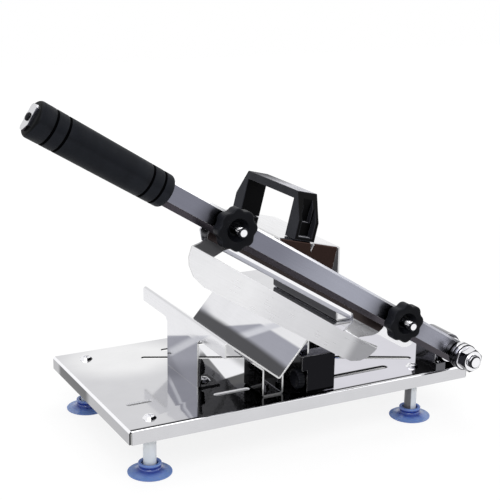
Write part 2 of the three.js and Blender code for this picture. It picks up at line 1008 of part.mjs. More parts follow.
// Small block that the lowered bar comes to rest above, and its screw
function stopParts() {
  const left = lever.axleX - stop.axleInset - stop.width;
  const back = leverBack + stop.backInset;
  const x = left + stop.width / 2;
  const y = back - stop.depth / 2;
  const top = deckTop + stop.height;
  const bore = rod("z", stop.screwHead / 2 + gap, deckTop - overrun, top + overrun, [x, y, 0]);
  const screw = crossScrew(stop.screwHead / 2, stop.screwHead, stop.screwProud, stop.height - gap);
  const mesh = meshOf("stop_screw", screw, chrome);
  mesh.position.set(x, y, top);
  const body = block([left, left + stop.width], [back - stop.depth, back], [deckTop, top]);
  return [meshOf("arm_stop", cut(body, bore), darkSteel), mesh];
}

// Bar of the lever: its section run from the axle to the end, rounded about the axle
function leverBar() {
  const high = lever.height / 2;
  const { edge, lowerChamfer } = lever;
  const section = outline([
    [leverFront, -high + lowerChamfer],
    [leverFront + lowerChamfer, -high],
    [leverBack - edge, -high],
    [leverBack, -high + edge],
    [leverBack, high - edge],
    [leverBack - edge, high],
    [leverFront + edge, high],
    [leverFront, high - edge],
  ]);
  const side = new THREE.Shape();
  side.moveTo(-lever.length, -high);
  runIntoArc(side, new THREE.Vector2(), high, -Math.PI / 2, Math.PI / 2, false);
  side.lineTo(-lever.length, high);
  side.closePath();
  const blank = prism(section, "x", -lever.length, lever.height);
  const view = prism(side, "y", leverFront - overrun, leverBack + overrun);
  const holes = [
    ["y", m12.radius + gap, [0, 0, 0]],
    ["y", m8.radius + gap, [-lever.nearBolt, 0, lever.boltHeight]],
    ["y", m8.radius + gap, [-lever.farBolt, 0, lever.boltHeight]],
  ].map(([axis, radius, centre]) =>
    rod(axis, radius, leverFront - overrun, leverBack + overrun, centre),
  );
  const middle = (leverFront + leverBack) / 2;
  const end = -lever.length;
  const socketEnd = end + plug.stemLength + gap;
  const socket = rod("x", plug.stem + gap, end - overrun, socketEnd, [0, middle, 0]);
  return cut(blank.intersect(view), ...holes, socket);
}

function plugSolid() {
  const end = -lever.length - gap;
  const dome = new THREE.EllipseCurve(0, end, plug.radius, plug.dome, -Math.PI / 2, 0);
  const points = dome.getPoints(arcSteps).map((p) => [p.x, p.y]);
  points[0][0] = 0;
  return turned(
    [...points, [plug.stem, end], [plug.stem, end + plug.stemLength], [0, end + plug.stemLength]],
    "x",
    [0, (leverFront + leverBack) / 2, 0],
  );
}

// Turned grip with round ends and two pairs of grooves, over the bar
function gripSolid() {
  const outer = -grip.start - grip.length;
  const inner = -grip.start;
  const taper = (grip.outerRadius - grip.innerRadius) / grip.length;
  const radiusAt = (x) => grip.outerRadius - (x - outer) * taper;
  const groove = (x) => [
    [radiusAt(x), x],
    [radiusAt(x) - grip.grooveDepth, x + grip.grooveWidth / 4],
    [radiusAt(x) - grip.grooveDepth, x + (3 * grip.grooveWidth) / 4],
    [radiusAt(x), x + grip.grooveWidth],
  ];
  const endArc = (x, radius, from, to) =>
    new THREE.EllipseCurve(radius - grip.round, x, grip.round, grip.round, from, to)
      .getPoints(shallowSteps)
      .map((p) => [p.x, p.y]);
  const profile = [
    [0, outer],
    ...endArc(outer + grip.round, grip.outerRadius, -Math.PI / 2, 0),
    ...groove(outer + grip.outerGroove),
    ...groove(outer + grip.outerGroove + grip.groovePitch),
    ...groove(inner - grip.innerGroove - grip.groovePitch - grip.grooveWidth),
    ...groove(inner - grip.innerGroove - grip.grooveWidth),
    ...endArc(inner - grip.round, grip.innerRadius, 0, Math.PI / 2),
    [0, inner],
  ];
  const middle = (leverFront + leverBack) / 2;
  const bore = block(
    [outer - overrun, inner + overrun],
    [leverFront - gap, leverBack + gap],
    [-lever.height / 2 - gap, lever.height / 2 + gap],
  );
  return cut(turned(profile, "x", [0, middle, 0]), bore);
}

// Countersunk cut or head that tapers from the blade's back face to the shank
function coneAt(headRadius, shankRadius, centre) {
  const taperEnd = bladeBack - blade.depth - sheet;
  const profile = [
    [0, taperEnd],
    [shankRadius, taperEnd],
    [headRadius, bladeBack - m8.headLand],
    [headRadius, bladeBack],
    [0, bladeBack],
  ];
  return turned(profile, "y", centre);
}

function boltCuts() {
  const wide = m8.head + gap;
  const narrow = m8.radius + gap;
  return [lever.nearBolt, lever.farBolt].map((station) => {
    const centre = [-station, 0, lever.boltHeight];
    return joined(
      coneAt(wide, narrow, centre),
      rod("y", narrow, leverFront - overrun, bladeFront, centre),
      rod("y", wide, bladeBack - m8.headLand, bladeBack + overrun, centre),
    );
  });
}

function bladeSolid() {
  const section = outline([
    [bladeFront, blade.upper],
    [bladeFront, -blade.lower + blade.bevel],
    [bladeBack - blade.land, -blade.lower],
    [bladeBack, -blade.lower],
    [bladeBack, blade.upper],
  ]);
  const view = outline([
    [-blade.start, blade.upper],
    [-blade.end + blade.toeRun / 2, blade.upper],
    [-blade.end, -blade.lower + blade.heelRise],
    [-blade.end + blade.toeRun, -blade.lower],
    [-blade.start - blade.heelRun, -blade.lower],
    [-blade.start - blade.heelRun / 3, -blade.lower + blade.heelRise / 3],
    [-blade.start, -blade.lower + blade.heelRise],
  ]);
  return cut(
    prism(section, "x", -blade.end, -blade.start).intersect(
      prism(view, "y", bladeFront - overrun, bladeBack + overrun),
    ),
    ...boltCuts(),
  );
}

// Guard's folded section at one station: flange, sloping tab and hanging band
function guardSection(rootDrop, outerDrop) {
  return foldedSheet(
    [
      [bladeFront, blade.upper],
      [bladeFront, -rootDrop],
      [bandFront + sheet, -outerDrop],
      [bandFront + sheet, -guard.bandDrop - overrun],
    ].reverse(),
    sheet,
    guard.bendInside,
  );
}

// A solid between the same section at two stations, as the bends aren't parallel
function ruled(nearShape, farShape, near, far) {
  const points = (shape) => shape.extractPoints(arcSteps).shape;
  const ends = [points(nearShape), points(farShape)];
  const count = ends[0].length;
  const positions = [];
  ends.forEach((end, i) => {
    for (const p of end) positions.push(i ? far : near, p.x, p.y);
  });
  const caps = THREE.ShapeUtils.triangulateShape(ends[0], []);
  const anticlockwise = !THREE.ShapeUtils.isClockWise(ends[0]);
  const index = [];
  const face = (a, b, c) => index.push(...(anticlockwise ? [a, b, c] : [a, c, b]));
  for (const [a, b, c] of caps) {
    face(a, b, c);
    face(a + count, c + count, b + count);
  }
  for (let i = 0; i < count; i += 1) {
    const j = (i + 1) % count;
    face(i, i + count, j);
    face(j, i + count, j + count);
  }
  const geometry = new THREE.BufferGeometry();
  geometry.setAttribute("position", new THREE.Float32BufferAttribute(positions, 3));
  geometry.setIndex(index);
  return solidOf(geometry);
}

// Guard: the ruled sheet trimmed to its front outline, with its window and bolt holes
function guardSolid() {
  const width = guard.bandEnd - guard.bandStart;
  const at = ([u, v]) => [-guard.bandStart - u * width, v * guard.bandDrop];
  const blank = ruled(
    guardSection(guard.nearRootDrop, guard.nearOuterDrop),
    guardSection(guard.farRootDrop, guard.farOuterDrop),
    -guard.start,
    -guard.bandEnd,
  );
  const view = outline([
    [-guard.start, blade.upper],
    [-guard.end, blade.upper],
    [-guard.end, -guard.flangeDrop],
    ...farTabShares.map(at),
    ...nearTabShares.map(at),
    [-guard.start, -guard.heelDrop],
  ]);
  const window = outline([
    ...windowShares.map(at),
    [-guard.start - width / 4, -guard.flangeDrop],
    [-guard.end + width / 8, -guard.flangeDrop],
  ]);
  const front = bandFront - overrun;
  const back = bladeFront + overrun;
  return cut(
    blank.intersect(prism(view, "y", front, back)),
    prism(window, "y", front, back),
    ...boltCuts(),
  );
}

function bladeBolt(station) {
  const centre = [-station, 0, lever.boltHeight];
  const end = leverFront - gap - knob.hubLength - knob.depth - knob.studProud;
  const stud = turned(
    [
      [0, end],
      [m8.radius - m8.chamfer, end],
      [m8.radius, end + m8.chamfer],
      [m8.radius, bladeFront],
      [0, bladeFront],
    ],
    "y",
    centre,
  );
  return joined(coneAt(m8.head, m8.radius, centre), stud);
}

// Star knob with a hub against the bar and a tapered well in front, about its own bolt
function starKnob() {
  const back = leverFront - gap;
  const discBack = back - knob.hubLength;
  const discFront = discBack - knob.depth;
  const lobes = waves(knob.radius, knob.lobeDepth, knob.lobes, starSteps);
  const well = [
    [0, discFront - overrun],
    [knob.dishRadius, discFront - overrun],
    [knob.dishRadius, discFront],
    [knob.dishFloor, discFront + knob.dishDepth],
    [0, discFront + knob.dishDepth],
  ];
  return cut(
    joined(
      prism(lobes, "y", discFront, discBack, knob.edge),
      rod("y", knob.hubRadius, discBack - overrun, back),
    ),
    rod("y", m8.radius + gap, discFront - overrun, back + overrun),
    turned(well, "y"),
  );
}

function leverGroup() {
  const group = new THREE.Group();
  group.position.set(lever.axleX, 0, axleZ);
  group.rotation.y = THREE.MathUtils.degToRad(lever.photoTurn);
  const knobs = copies(starKnob(), blackPlastic, {
    star_knob_near: [-lever.nearBolt, 0, lever.boltHeight],
    star_knob_far: [-lever.farBolt, 0, lever.boltHeight],
  });
  group.add(
    meshOf("lever_bar", leverBar(), polished),
    meshOf("bar_plug", plugSolid(), blackPlastic),
    meshOf("grip", gripSolid(), blackPlastic),
    meshOf("blade", bladeSolid(), bladeSteel),
    meshOf("blade_guard", guardSolid(), satin),
    meshOf("blade_bolt_near", bladeBolt(lever.nearBolt), chrome),
    meshOf("blade_bolt_far", bladeBolt(lever.farBolt), chrome),
    ...knobs,
  );
  return group;
}

// Pusher plate: tilted top, upright wing, foot on the rim and a hook outside it
function pusherPlate() {
  const footZ = rimZ + gap + sheet;
  const hookX = rightX + gap + sheet;
  const cornerZ = plateZ - (pusher.cornerX - pusher.leftX) * Math.tan(tilt);
  const section = foldedSheet(
    [
      [hookX, footZ - sheet - pusher.hook],
      [hookX, footZ],
      [pusher.cornerX, footZ],
      [pusher.cornerX, cornerZ],
      [pusher.leftX, plateZ],
    ],
    sheet,
    bendInside,
  );
  const bendBack = pusherFront + sheet + bendInside;
  const end = pusherFront + pusher.length;
  const plate = prism(section, "y", bendBack, end);
  const span = (pusher.cornerX - pusher.leftX) / Math.cos(tilt) - pusher.lipSide;
  const fold = foldedSheet(
    [
      [bendBack + overrun, 0],
      [pusherFront, 0],
      [pusherFront, -pusher.lip],
    ],
    sheet,
    bendInside,
  );
  const notchX = span * pusher.notchShare;
  const notch = outline([
    [notchX - pusher.notchWidth, pusher.notchDepth],
    [notchX, -pusher.notchDepth],
    [notchX + pusher.notchWidth, pusher.notchDepth],
  ]);
  const lip = prismIn(pusherFrame(), fold, "x", 0, span);
  const opening = prismIn(pusherFrame(), notch, "y", pusherFront - overrun, bendBack);
  const screwCuts = bridgeScrewPlaces().map(([x, y]) =>
    solidOf(
      new THREE.CylinderGeometry(
        bridge.screwRadius + gap,
        bridge.screwRadius + gap,
        2 * (sheet + overrun),
        smallSteps,
      )
        .rotateX(Math.PI / 2)
        .translate(x, y, 0)
        .applyMatrix4(pusherFrame()),
    ),
  );
  return cut(joined(plate, lip), opening, ...screwCuts);
}

// Frame of the tilted plate: X down the tilt, Z square to it
function pusherFrame() {
  return new THREE.Matrix4()
    .makeTranslation(pusher.leftX, 0, plateZ)
    .multiply(new THREE.Matrix4().makeRotationY(tilt));
}

function prismIn(frame, shape, axis, from, to) {
  return solidOf(prismGeometry(shape, axis, from, to).applyMatrix4(frame));
}

// Places of the handle's two screws, on the plate
function bridgeScrewPlaces() {
  const front = pusherFront + bridge.screwInset;
  return [
    [bridge.centre, front],
    [bridge.centre, bridgeBack - bridge.screwInset],
  ];
}

// Bridge handle on the plate, in the plate's own frame
function bridgeSolid() {
  const front = pusherFront;
  const back = bridgeBack;
  const side = outline([
    [front, gap],
    [front + bridge.post, gap],
    [front + bridge.post, bridge.height - bridge.beam],
    [back - bridge.post, bridge.height - bridge.beam],
    [back - bridge.post, gap],
    [back, gap],
    [back, bridge.shoulder],
    [back - bridge.chamfer, bridge.height],
    [front + bridge.chamfer, bridge.height],
    [front, bridge.shoulder],
  ]);
  const left = bridge.centre - bridge.width / 2;
  const pocket = (from, to, width, low, high) =>
    block(
      [bridge.centre - width / 2, bridge.centre + width / 2],
      [from, to],
      [low, high],
    );
  const low = (bridge.height - bridge.pocketHeight) / 2;
  const high = low + bridge.pocketHeight;
  const inner = low + bridge.innerRise;
  const wide = bridge.pocketWidth;
  const slim = bridge.innerWidth;
  return cut(
    prism(side, "x", left, left + bridge.width),
    pocket(front - overrun, front + bridge.pocketDepth, wide, low, high),
    pocket(front - overrun, front + bridge.innerDepth, slim, inner, high),
    pocket(back - bridge.pocketDepth, back + overrun, wide, low, high),
    pocket(back - bridge.innerDepth, back + overrun, slim, inner, high),
    ...bridgeScrewPlaces().map(([x, y]) =>
      rod("z", bridge.screwRadius + gap, 0, bridge.screwLength - sheet + gap, [x, y, 0]),
    ),
  );
}

function pusherGroup() {
  const group = new THREE.Group();
  const tilted = new THREE.Group();
  tilted.position.set(pusher.leftX, 0, plateZ);
  tilted.rotation.y = tilt;
  const screw = crossScrew(
    bridge.screwRadius,
    bridge.screwHead,
    bridge.screwHeadHeight,
    bridge.screwLength,
  );
  const [front, rear] = bridgeScrewPlaces().map(([x, y]) => [x, y, -sheet - gap]);
  const screws = copies(screw, chrome, { handle_screw_front: front, handle_screw_rear: rear });
  for (const mesh of screws) mesh.rotation.x = Math.PI;
  tilted.add(meshOf("press_handle", bridgeSolid(), blackPlastic), ...screws);
  group.add(meshOf("press_plate", pusherPlate(), polished), tilted);
  return group;
}

// The whole slicer
function slicer() {
  const group = new THREE.Group();
  group.add(
    meshOf("base_plate", deckPlate(), polished),
    ...feet(),
    meshOf("trough", troughSolid(), polished),
    meshOf("saddle", saddleSolid(), darkSteel),
    meshOf("saddle_bolt", saddleBolt(), chrome),
    ...legFixings(),
    ...supportFixings(),
    ...pivotParts(),
    ...stopParts(),
    leverGroup(),
    pusherGroup(),
  );
  return group;
}

const group = slicer();

export default group;
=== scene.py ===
"""Lever slicer on a folded steel deck: its finishes, finer pieces, floor, light and camera.

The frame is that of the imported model: metres, X right, Y back, Z up, ground at Z 0. Sizes and
places below are in millimetres, and a mesh is turned to metres as it is made.
"""
import logging
import math
from dataclasses import dataclass, field, replace
from enum import Enum
from typing import Any, Callable, Mapping, Sequence

import bmesh
import bpy
from mathutils import Matrix, Vector
from mathutils.bvhtree import BVHTree


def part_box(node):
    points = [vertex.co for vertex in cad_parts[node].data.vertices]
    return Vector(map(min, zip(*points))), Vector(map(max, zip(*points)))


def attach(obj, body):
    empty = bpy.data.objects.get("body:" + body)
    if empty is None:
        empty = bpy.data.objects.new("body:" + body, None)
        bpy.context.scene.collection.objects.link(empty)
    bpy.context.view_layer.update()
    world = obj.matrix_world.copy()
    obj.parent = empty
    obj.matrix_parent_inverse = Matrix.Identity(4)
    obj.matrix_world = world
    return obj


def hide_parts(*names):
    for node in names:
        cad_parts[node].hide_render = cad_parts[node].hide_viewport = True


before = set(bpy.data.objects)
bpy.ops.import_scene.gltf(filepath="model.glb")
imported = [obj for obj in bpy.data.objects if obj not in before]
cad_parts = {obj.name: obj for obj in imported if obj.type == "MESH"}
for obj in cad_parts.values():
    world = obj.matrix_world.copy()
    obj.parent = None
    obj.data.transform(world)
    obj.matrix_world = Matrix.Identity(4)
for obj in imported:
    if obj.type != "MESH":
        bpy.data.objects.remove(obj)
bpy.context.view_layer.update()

MM = 0.001
SHEET = 1.5
LOG = logging.getLogger("slicer")

Rgb = tuple[float, float, float]
Triple = tuple[float, float, float]
Pairs = tuple[tuple[float, float], ...]
Number = int | float

UP: Triple = (0.0, 0.0, 1.0)
DOWN: Triple = (0.0, 0.0, -1.0)
LEFT: Triple = (-1.0, 0.0, 0.0)
RIGHT: Triple = (1.0, 0.0, 0.0)
FRONT: Triple = (0.0, -1.0, 0.0)
BACK: Triple = (0.0, 1.0, 0.0)


def shade(red: Number, green: Number, blue: Number) -> Rgb:
    """Linear colour of a tone given as it shows, each part from 0 to 255."""
    levels = [part / 255 for part in (red, green, blue)]
    return tuple(s / 12.92 if s <= 0.04045 else ((s + 0.055) / 1.055) ** 2.4 for s in levels)


def grey(level: Number, cool: Number = 3) -> Rgb:
    """Linear colour of a grey that leans a little to blue."""
    return shade(level, level, min(level + cool, 255))


def metres(triple: Triple) -> Triple:
    """A place or size in millimetres, in metres."""
    return tuple(part * MM for part in triple)


# ---------------------------------------------------------------- shader graphs


class Value:
    """One output of a shader graph, with the arithmetic that adds its own nodes."""

    def __init__(self, graph: "Graph", socket: bpy.types.NodeSocket) -> None:
        """Wraps a graph's output to carry on from."""
        self.graph = graph
        self.socket = socket

    def _pair(self, operation: str, first: Any, second: Any) -> "Value":
        """Joins two values with the node that suits what this socket carries.

        Args:
            operation: ADD, SUBTRACT, MULTIPLY, DIVIDE or another name that the node knows.
            first: the left value, a Value, number or triple.
            second: the right value, a Value, number or triple.

        Returns:
            The result as a Value.
        """
        if self.socket.type == "RGBA":
            settings = {"data_type": "RGBA", "blend_type": operation}
            return self.graph.node("ShaderNodeMix", settings, {0: 1.0, 6: first, 7: second}, 2)
        if self.socket.type == "VECTOR" or isinstance(second, tuple):
            kind = "ShaderNodeVectorMath"
        else:
            kind = "ShaderNodeMath"
        return self.graph.node(kind, {"operation": operation}, {0: first, 1: second})

    def __add__(self, other: Any) -> "Value":
        """This plus the other."""
        return self._pair("ADD", self, other)

    def __radd__(self, other: Any) -> "Value":
        """The other plus this."""
        return self._pair("ADD", other, self)

    def __sub__(self, other: Any) -> "Value":
        """This minus the other."""
        return self._pair("SUBTRACT", self, other)

    def __rsub__(self, other: Any) -> "Value":
        """The other minus this."""
        return self._pair("SUBTRACT", other, self)

    def __mul__(self, other: Any) -> "Value":
        """This times the other."""
        return self._pair("MULTIPLY", self, other)

    def __rmul__(self, other: Any) -> "Value":
        """The other times this."""
        return self._pair("MULTIPLY", other, self)

    def dot(self, direction: Triple) -> "Value":
        """How far this vector reaches along a direction."""
        settings = {"operation": "DOT_PRODUCT"}
        return self.graph.node("ShaderNodeVectorMath", settings, {0: self, 1: direction}, 1)

    def length(self) -> "Value":
        """Length of this vector."""
        return self.graph.node("ShaderNodeVectorMath", {"operation": "LENGTH"}, {0: self}, 1)

    def fade(self, start: float, end: float) -> "Value":
        """Eases from 0 to 1.

        Args:
            start: this value where the result is 0.
            end: this value where the result is 1.

        Returns:
            The eased value.
        """
        settings = {"interpolation_type": "SMOOTHSTEP"}
        inputs = {"Value": self, "From Min": start, "From Max": end}
        return self.graph.node("ShaderNodeMapRange", settings, inputs)

    def held(self, low: float, high: float) -> "Value":
        """This kept from low to high."""
        return self.graph.node("ShaderNodeClamp", {}, {"Value": self, "Min": low, "Max": high})

    def between(self, start: Any, end: Any) -> "Value":
        """Mixes two colours: the first where this is 0 and the second where it is 1."""
        settings = {"data_type": "RGBA", "blend_type": "MIX"}
        return self.graph.node("ShaderNodeMix", settings, {0: self, 6: start, 7: end}, 2)


class Graph:
    """The nodes of one material or of the world, wired as they are made."""

    def __init__(self, tree: bpy.types.NodeTree) -> None:
        """Starts an empty graph.

        Args:
            tree: the node tree to fill.
        """
        tree.nodes.clear()
        self.tree = tree
        self._coordinates: dict[str, Value] = {}

    def node(
        self,
        kind: str,
        settings: Mapping[str, Any],
        inputs: Mapping[str | int, Any],
        output: str | int = 0,
    ) -> Value:
        """Adds a node, sets it up, then fills or wires its sockets.

        Args:
            kind: the node's type name.
            settings: its own settings, set first.
            inputs: a value, colour, triple or link for each socket by name or number.
            output: the output to carry on from.

        Returns:
            The chosen output.
        """
        made = self.tree.nodes.new(kind)
        for name, setting in settings.items():
            setattr(made, name, setting)
        for key, given in inputs.items():
            self._fill(made.inputs[key], given)
        return Value(self, made.outputs[output])

    def _fill(self, socket: bpy.types.NodeSocket, given: Any) -> None:
        """Links a value to a socket, or writes a number, triple or colour there.

        Args:
            socket: the socket.
            given: what it gets.
        """
        if isinstance(given, Value):
            self.tree.links.new(given.socket, socket)
        elif socket.type == "RGBA" and isinstance(given, tuple):
            socket.default_value = (*given, 1.0)
        elif socket.type == "VECTOR" and isinstance(given, (int, float)):
            socket.default_value = (given, given, given)
        else:
            socket.default_value = given

    def end(self, kind: str, shader: Value) -> None:
        """Closes the graph with its output node."""
        made = self.tree.nodes.new(kind)
        self.tree.links.new(shader.socket, made.inputs["Surface"])

    def dress(self, made: bpy.types.Material, inputs: Mapping[str, Any]) -> bpy.types.Material:
        """Closes a material with the principled shader and hands it back."""
        self.end("ShaderNodeOutputMaterial", self.node("ShaderNodeBsdfPrincipled", {}, inputs))
        return made

    def _coordinate(self, name: str) -> Value:
        """An output of the Texture Coordinate node, made once.

        Args:
            name: the output's name.

        Returns:
            The output.
        """
        if name not in self._coordinates:
            self._coordinates[name] = self.node("ShaderNodeTexCoord", {}, {}, name)
        return self._coordinates[name]

    def place(self) -> Value:
        """Where a point of the piece lies at rest, in metres."""
        return self._coordinate("Object")

    def facing(self) -> Value:
        """The way that a point of the piece looks at rest."""
        return self._coordinate("Normal")

    def tint(self) -> Value:
        """The tint that the mesh was given, from 0 to 1."""
        settings = {"attribute_type": "GEOMETRY", "attribute_name": "tint"}
        return self.node("ShaderNodeAttribute", settings, {}, "Fac")

    def noise(self, size: float, detail: float = 2.0, where: Value | None = None) -> Value:
        """Soft random values from 0 to 1, with one patch as wide as the size in millimetres."""
        inputs = {"Vector": where or self.place(), "Scale": 1 / (size * MM), "Detail": detail}
        return self.node("ShaderNodeTexNoise", {}, inputs, "Fac")

    def drawn(self, heading: Triple, stretch: float) -> Value:
        """The place, pressed together along a heading, so that noise read there runs in lines.

        Args:
            heading: the way that the lines run.
            stretch: how many times longer than wide they are.

        Returns:
            The place to read the noise at.
        """
        run = Vector(heading).normalized()
        side = run.orthogonal().normalized()
        third = run.cross(side)
        place = self.place()
        inputs = {
            0: place.dot(tuple(run / stretch)),
            1: place.dot(tuple(side)),
            2: place.dot(tuple(third)),
        }
        return self.node("ShaderNodeCombineXYZ", {}, inputs)

    def bump(self, height: Value, depth: float, strength: float) -> Value:
        """Normal of a surface raised by a height, where 1 stands for the depth in millimetres."""
        inputs = {"Height": height, "Distance": depth * MM, "Strength": strength}
        return self.node("ShaderNodeBump", {}, inputs)


# ---------------------------------------------------------------- finishes


@dataclass(frozen=True)
class Side:
    """The part of space past a plane, with a soft edge."""

    direction: Triple
    start: float
    soft: float = 2.0

    def mask(self, graph: Graph) -> Value:
        """1 past the plane and 0 before it."""
        ends = [(self.start + half) * MM for half in (-self.soft / 2, self.soft / 2)]
        return graph.place().dot(self.direction).fade(*ends)


@dataclass(frozen=True)
class Spot:
    """A soft-edged ellipsoid round a point."""

    centre: Triple
    reach: Triple
    soft: float = 0.4

    def mask(self, graph: Graph) -> Value:
        """1 near the centre and 0 outside."""
        shrink = tuple(1 / (part * MM) for part in self.reach)
        return ((graph.place() - metres(self.centre)) * shrink).length().fade(1.0, 1.0 - self.soft)


@dataclass(frozen=True)
class Looking:
    """The faces that look a given way."""

    direction: Triple
    least: float
    soft: float

    def mask(self, graph: Graph) -> Value:
        """1 on faces that look along the direction and 0 on the others."""
        return graph.facing().dot(self.direction).fade(self.least - self.soft, self.least)


@dataclass(frozen=True)
class Strip:
    """A soft-edged band round a straight line between two points."""

    start: Triple
    end: Triple
    reach: float
    soft: float = 0.6

    def mask(self, graph: Graph) -> Value:
        """Works out how near a point lies to the line.

        Args:
            graph: the graph to add it to.

        Returns:
            1 near the line and 0 away from it.
        """
        run = Vector(self.end) - Vector(self.start)
        way = tuple(run.normalized())
        away = graph.place() - metres(self.start)
        along = away.dot(way).held(0.0, run.length * MM)
        reach = self.reach * MM
        return (away - along * way).length().fade(reach, reach - self.soft * MM)


@dataclass(frozen=True)
class Patch:
    """An area of a surface painted with a tone that stands in for the reflections and shade there.
    """

    tone: Rgb
    limits: tuple[Side | Spot | Strip | Looking, ...]

    def over(self, graph: Graph, ground: Value | Rgb) -> Value:
        """Lays the patch over what is there.

        Args:
            graph: the graph to add it to.
            ground: the tone so far.

        Returns:
            The tone with the patch on it.
        """
        mask = self.limits[0].mask(graph)
        for limit in self.limits[1:]:
            mask = mask * limit.mask(graph)
        return mask.between(ground, self.tone)


def toward(way: Triple, tone: Rgb, *limits: Any, least: float = 0.75, soft: float = 0.15) -> Patch:
    """Patch of painted light and shade on the faces that look a given way, within the other limits.
    """
    return Patch(tone, (Looking(way, least, soft), *limits))


def patched(graph: Graph, tone: Value | Rgb, patches: Sequence[Patch]) -> Value | Rgb:
    """Lays patches of painted reflection, highlight and shade over a tone in order.

    Args:
        graph: the graph to add them to.
        tone: the tone of the rest.
        patches: the patches.

    Returns:
        The tone with the patches on it.
    """
    for patch in patches:
        tone = patch.over(graph, tone)
    return tone


def varied(level: Value, tone: Value | Rgb, low: float, high: float) -> Value:
    """Takes a tone from darker to lighter.

    Args:
        level: where it is dark, at 0, and light, at 1.
        tone: the tone.
        low: its share where it is darkest.
        high: its share where it is lightest.

    Returns:
        The varied tone.
    """
    if isinstance(tone, tuple):
        return level.between(scaled(tone, low), scaled(tone, high))
    return level.between(tone * ((low,) * 3), tone * ((high,) * 3))


@dataclass(frozen=True)
class Steel:
    """Stainless steel: polished, brushed or ground."""

    name: str
    tone: Rgb
    roughness: float
    heading: Triple = RIGHT
    stretch: float = 60.0
    line: float = 0.5
    line_depth: float = 0.004
    line_shade: float = 0.06
    line_rough: float = 0.06
    line_height: float = 0.8
    smudge: float = 18.0
    smudge_shade: float = 0.05
    hair: float = 0.35
    hair_heading: Triple = (0.31, 0.52, 0.8)
    hair_stretch: float = 90.0
    hair_levels: tuple[float, float] = (0.73, 0.83)
    hair_shade: float = 0.012
    hair_rough: float = 0.05
    hair_depth: float = 0.3
    hairline: float = 1.0
    relief: float = 0.35
    darkest: float = 0.4
    lightest: float = 1.6
    metal: float = 1.0
    patches: tuple[Patch, ...] = ()

    def material(self) -> bpy.types.Material:
        """Polishing lines, hairline scratches, handling smudges, painted reflections and shade.

        Returns:
            The material.
        """
        made, graph = blank(self.name)
        lines = graph.noise(self.line, 3.0, graph.drawn(self.heading, self.stretch))
        smudges = graph.noise(self.smudge, 4.0)
        across = tuple(Vector(self.heading).cross(Vector(self.hair_heading)))
        scratches = graph.noise(self.hair, 1.0, graph.drawn(across, self.hair_stretch))
        hairs = scratches.fade(*self.hair_levels) * self.hairline
        # the patches paint reflections, highlights and shade over the tone
        tone = patched(graph, self.tone, self.patches)
        worn = (lines - 0.5) * self.line_shade + (smudges - 0.5) * self.smudge_shade
        level = (worn - hairs * self.hair_shade).fade(-0.5, 0.5)
        rough = self.roughness + (smudges - 0.5) * (self.roughness * 0.5) + hairs * self.hair_rough
        height = lines * self.line_height - hairs * self.hair_depth
        inputs = {
            "Base Color": varied(level, tone, self.darkest, self.lightest),
            "Metallic": self.metal,
            "Roughness": rough + (lines - 0.5) * self.line_rough,
            "Normal": graph.bump(height, self.line_depth, self.relief),
        }
        return graph.dress(made, inputs)


@dataclass(frozen=True)
class Plastic:
    """Moulded plastic with a fine spark-eroded grain."""

    name: str
    tone: Rgb
    roughness: float
    specular: float = 0.3
    grain: float = 0.5
    grain_depth: float = 0.02
    grain_share: float = 0.3
    grain_rough: float = 0.12
    flow: float = 14.0
    flow_heading: Triple = (0.4, 0.2, 0.9)
    flow_stretch: float = 4.0
    rub: float = 6.0
    rub_levels: tuple[float, float] = (0.52, 0.72)
    rub_shine: float = 0.08
    relief: float = 0.4
    mottle: float = 0.25
    patches: tuple[Patch, ...] = ()

    def material(self) -> bpy.types.Material:
        """Grain, faint flow marks, rubbed areas that shine a little more, and painted sheen and
        shade.

        Returns:
            The material.
        """
        made, graph = blank(self.name)
        grain = graph.noise(self.grain, 2.0)
        flow = graph.noise(self.flow, 3.0, graph.drawn(self.flow_heading, self.flow_stretch))
        rubs = graph.noise(self.rub, 4.0).fade(*self.rub_levels)
        # the patches paint sheen, highlights and shade over the tone
        tone = patched(graph, self.tone, self.patches)
        level = (grain * self.grain_share + flow * (1 - self.grain_share)).fade(0.2, 0.8)
        inputs = {
            "Base Color": varied(level, tone, 1 - self.mottle, 1 + self.mottle),
            "Roughness": self.roughness + (grain - 0.5) * self.grain_rough - rubs * self.rub_shine,
            "Specular IOR Level": self.specular,
            "Normal": graph.bump(grain, self.grain_depth, self.relief),
        }
        return graph.dress(made, inputs)


@dataclass(frozen=True)
class Translucent:
    """Soft plastic that light enters: cup rubber or nylon, toned by the mesh's tint."""

    name: str
    deep: Rgb
    thin: Rgb
    roughness: float
    glow: Triple
    weight: float
    depth: float = 0.004
    cloud: float = 5.0
    cloud_shade: float = 0.25
    cloud_rough: float = 0.12
    grain: float = 1.2
    grain_depth: float = 0.02
    relief: float = 0.3
    patches: tuple[Patch, ...] = ()

    def material(self) -> bpy.types.Material:
        """Deep tone where the tint is low, pale tone where it is high, with moulding marks.

        Returns:
            The material.
        """
        made, graph = blank(self.name)
        cloud = graph.noise(self.cloud, 3.0) - 0.5
        grain = graph.noise(self.grain, 2.0)
        # the tint follows the wall's thickness and also carries painted highlights and shade
        thinness_and_painted_light = (graph.tint() + cloud * self.cloud_shade).fade(0.0, 1.0)
        inputs = {
            "Base Color": patched(graph, thinness_and_painted_light.between(self.deep, self.thin), self.patches),
            "Roughness": self.roughness + cloud * self.cloud_rough,
            "Subsurface Weight": self.weight,
            "Subsurface Radius": self.glow,
            "Subsurface Scale": self.depth,
            "Normal": graph.bump(grain, self.grain_depth, self.relief),
        }
        return graph.dress(made, inputs)


Finish = Steel | Plastic | Translucent


def scaled(colour: Rgb, share: float) -> Rgb:
    """A colour made lighter or darker, kept within 0 to 1."""
    return tuple(min(max(part * share, 0.0), 1.0) for part in colour)


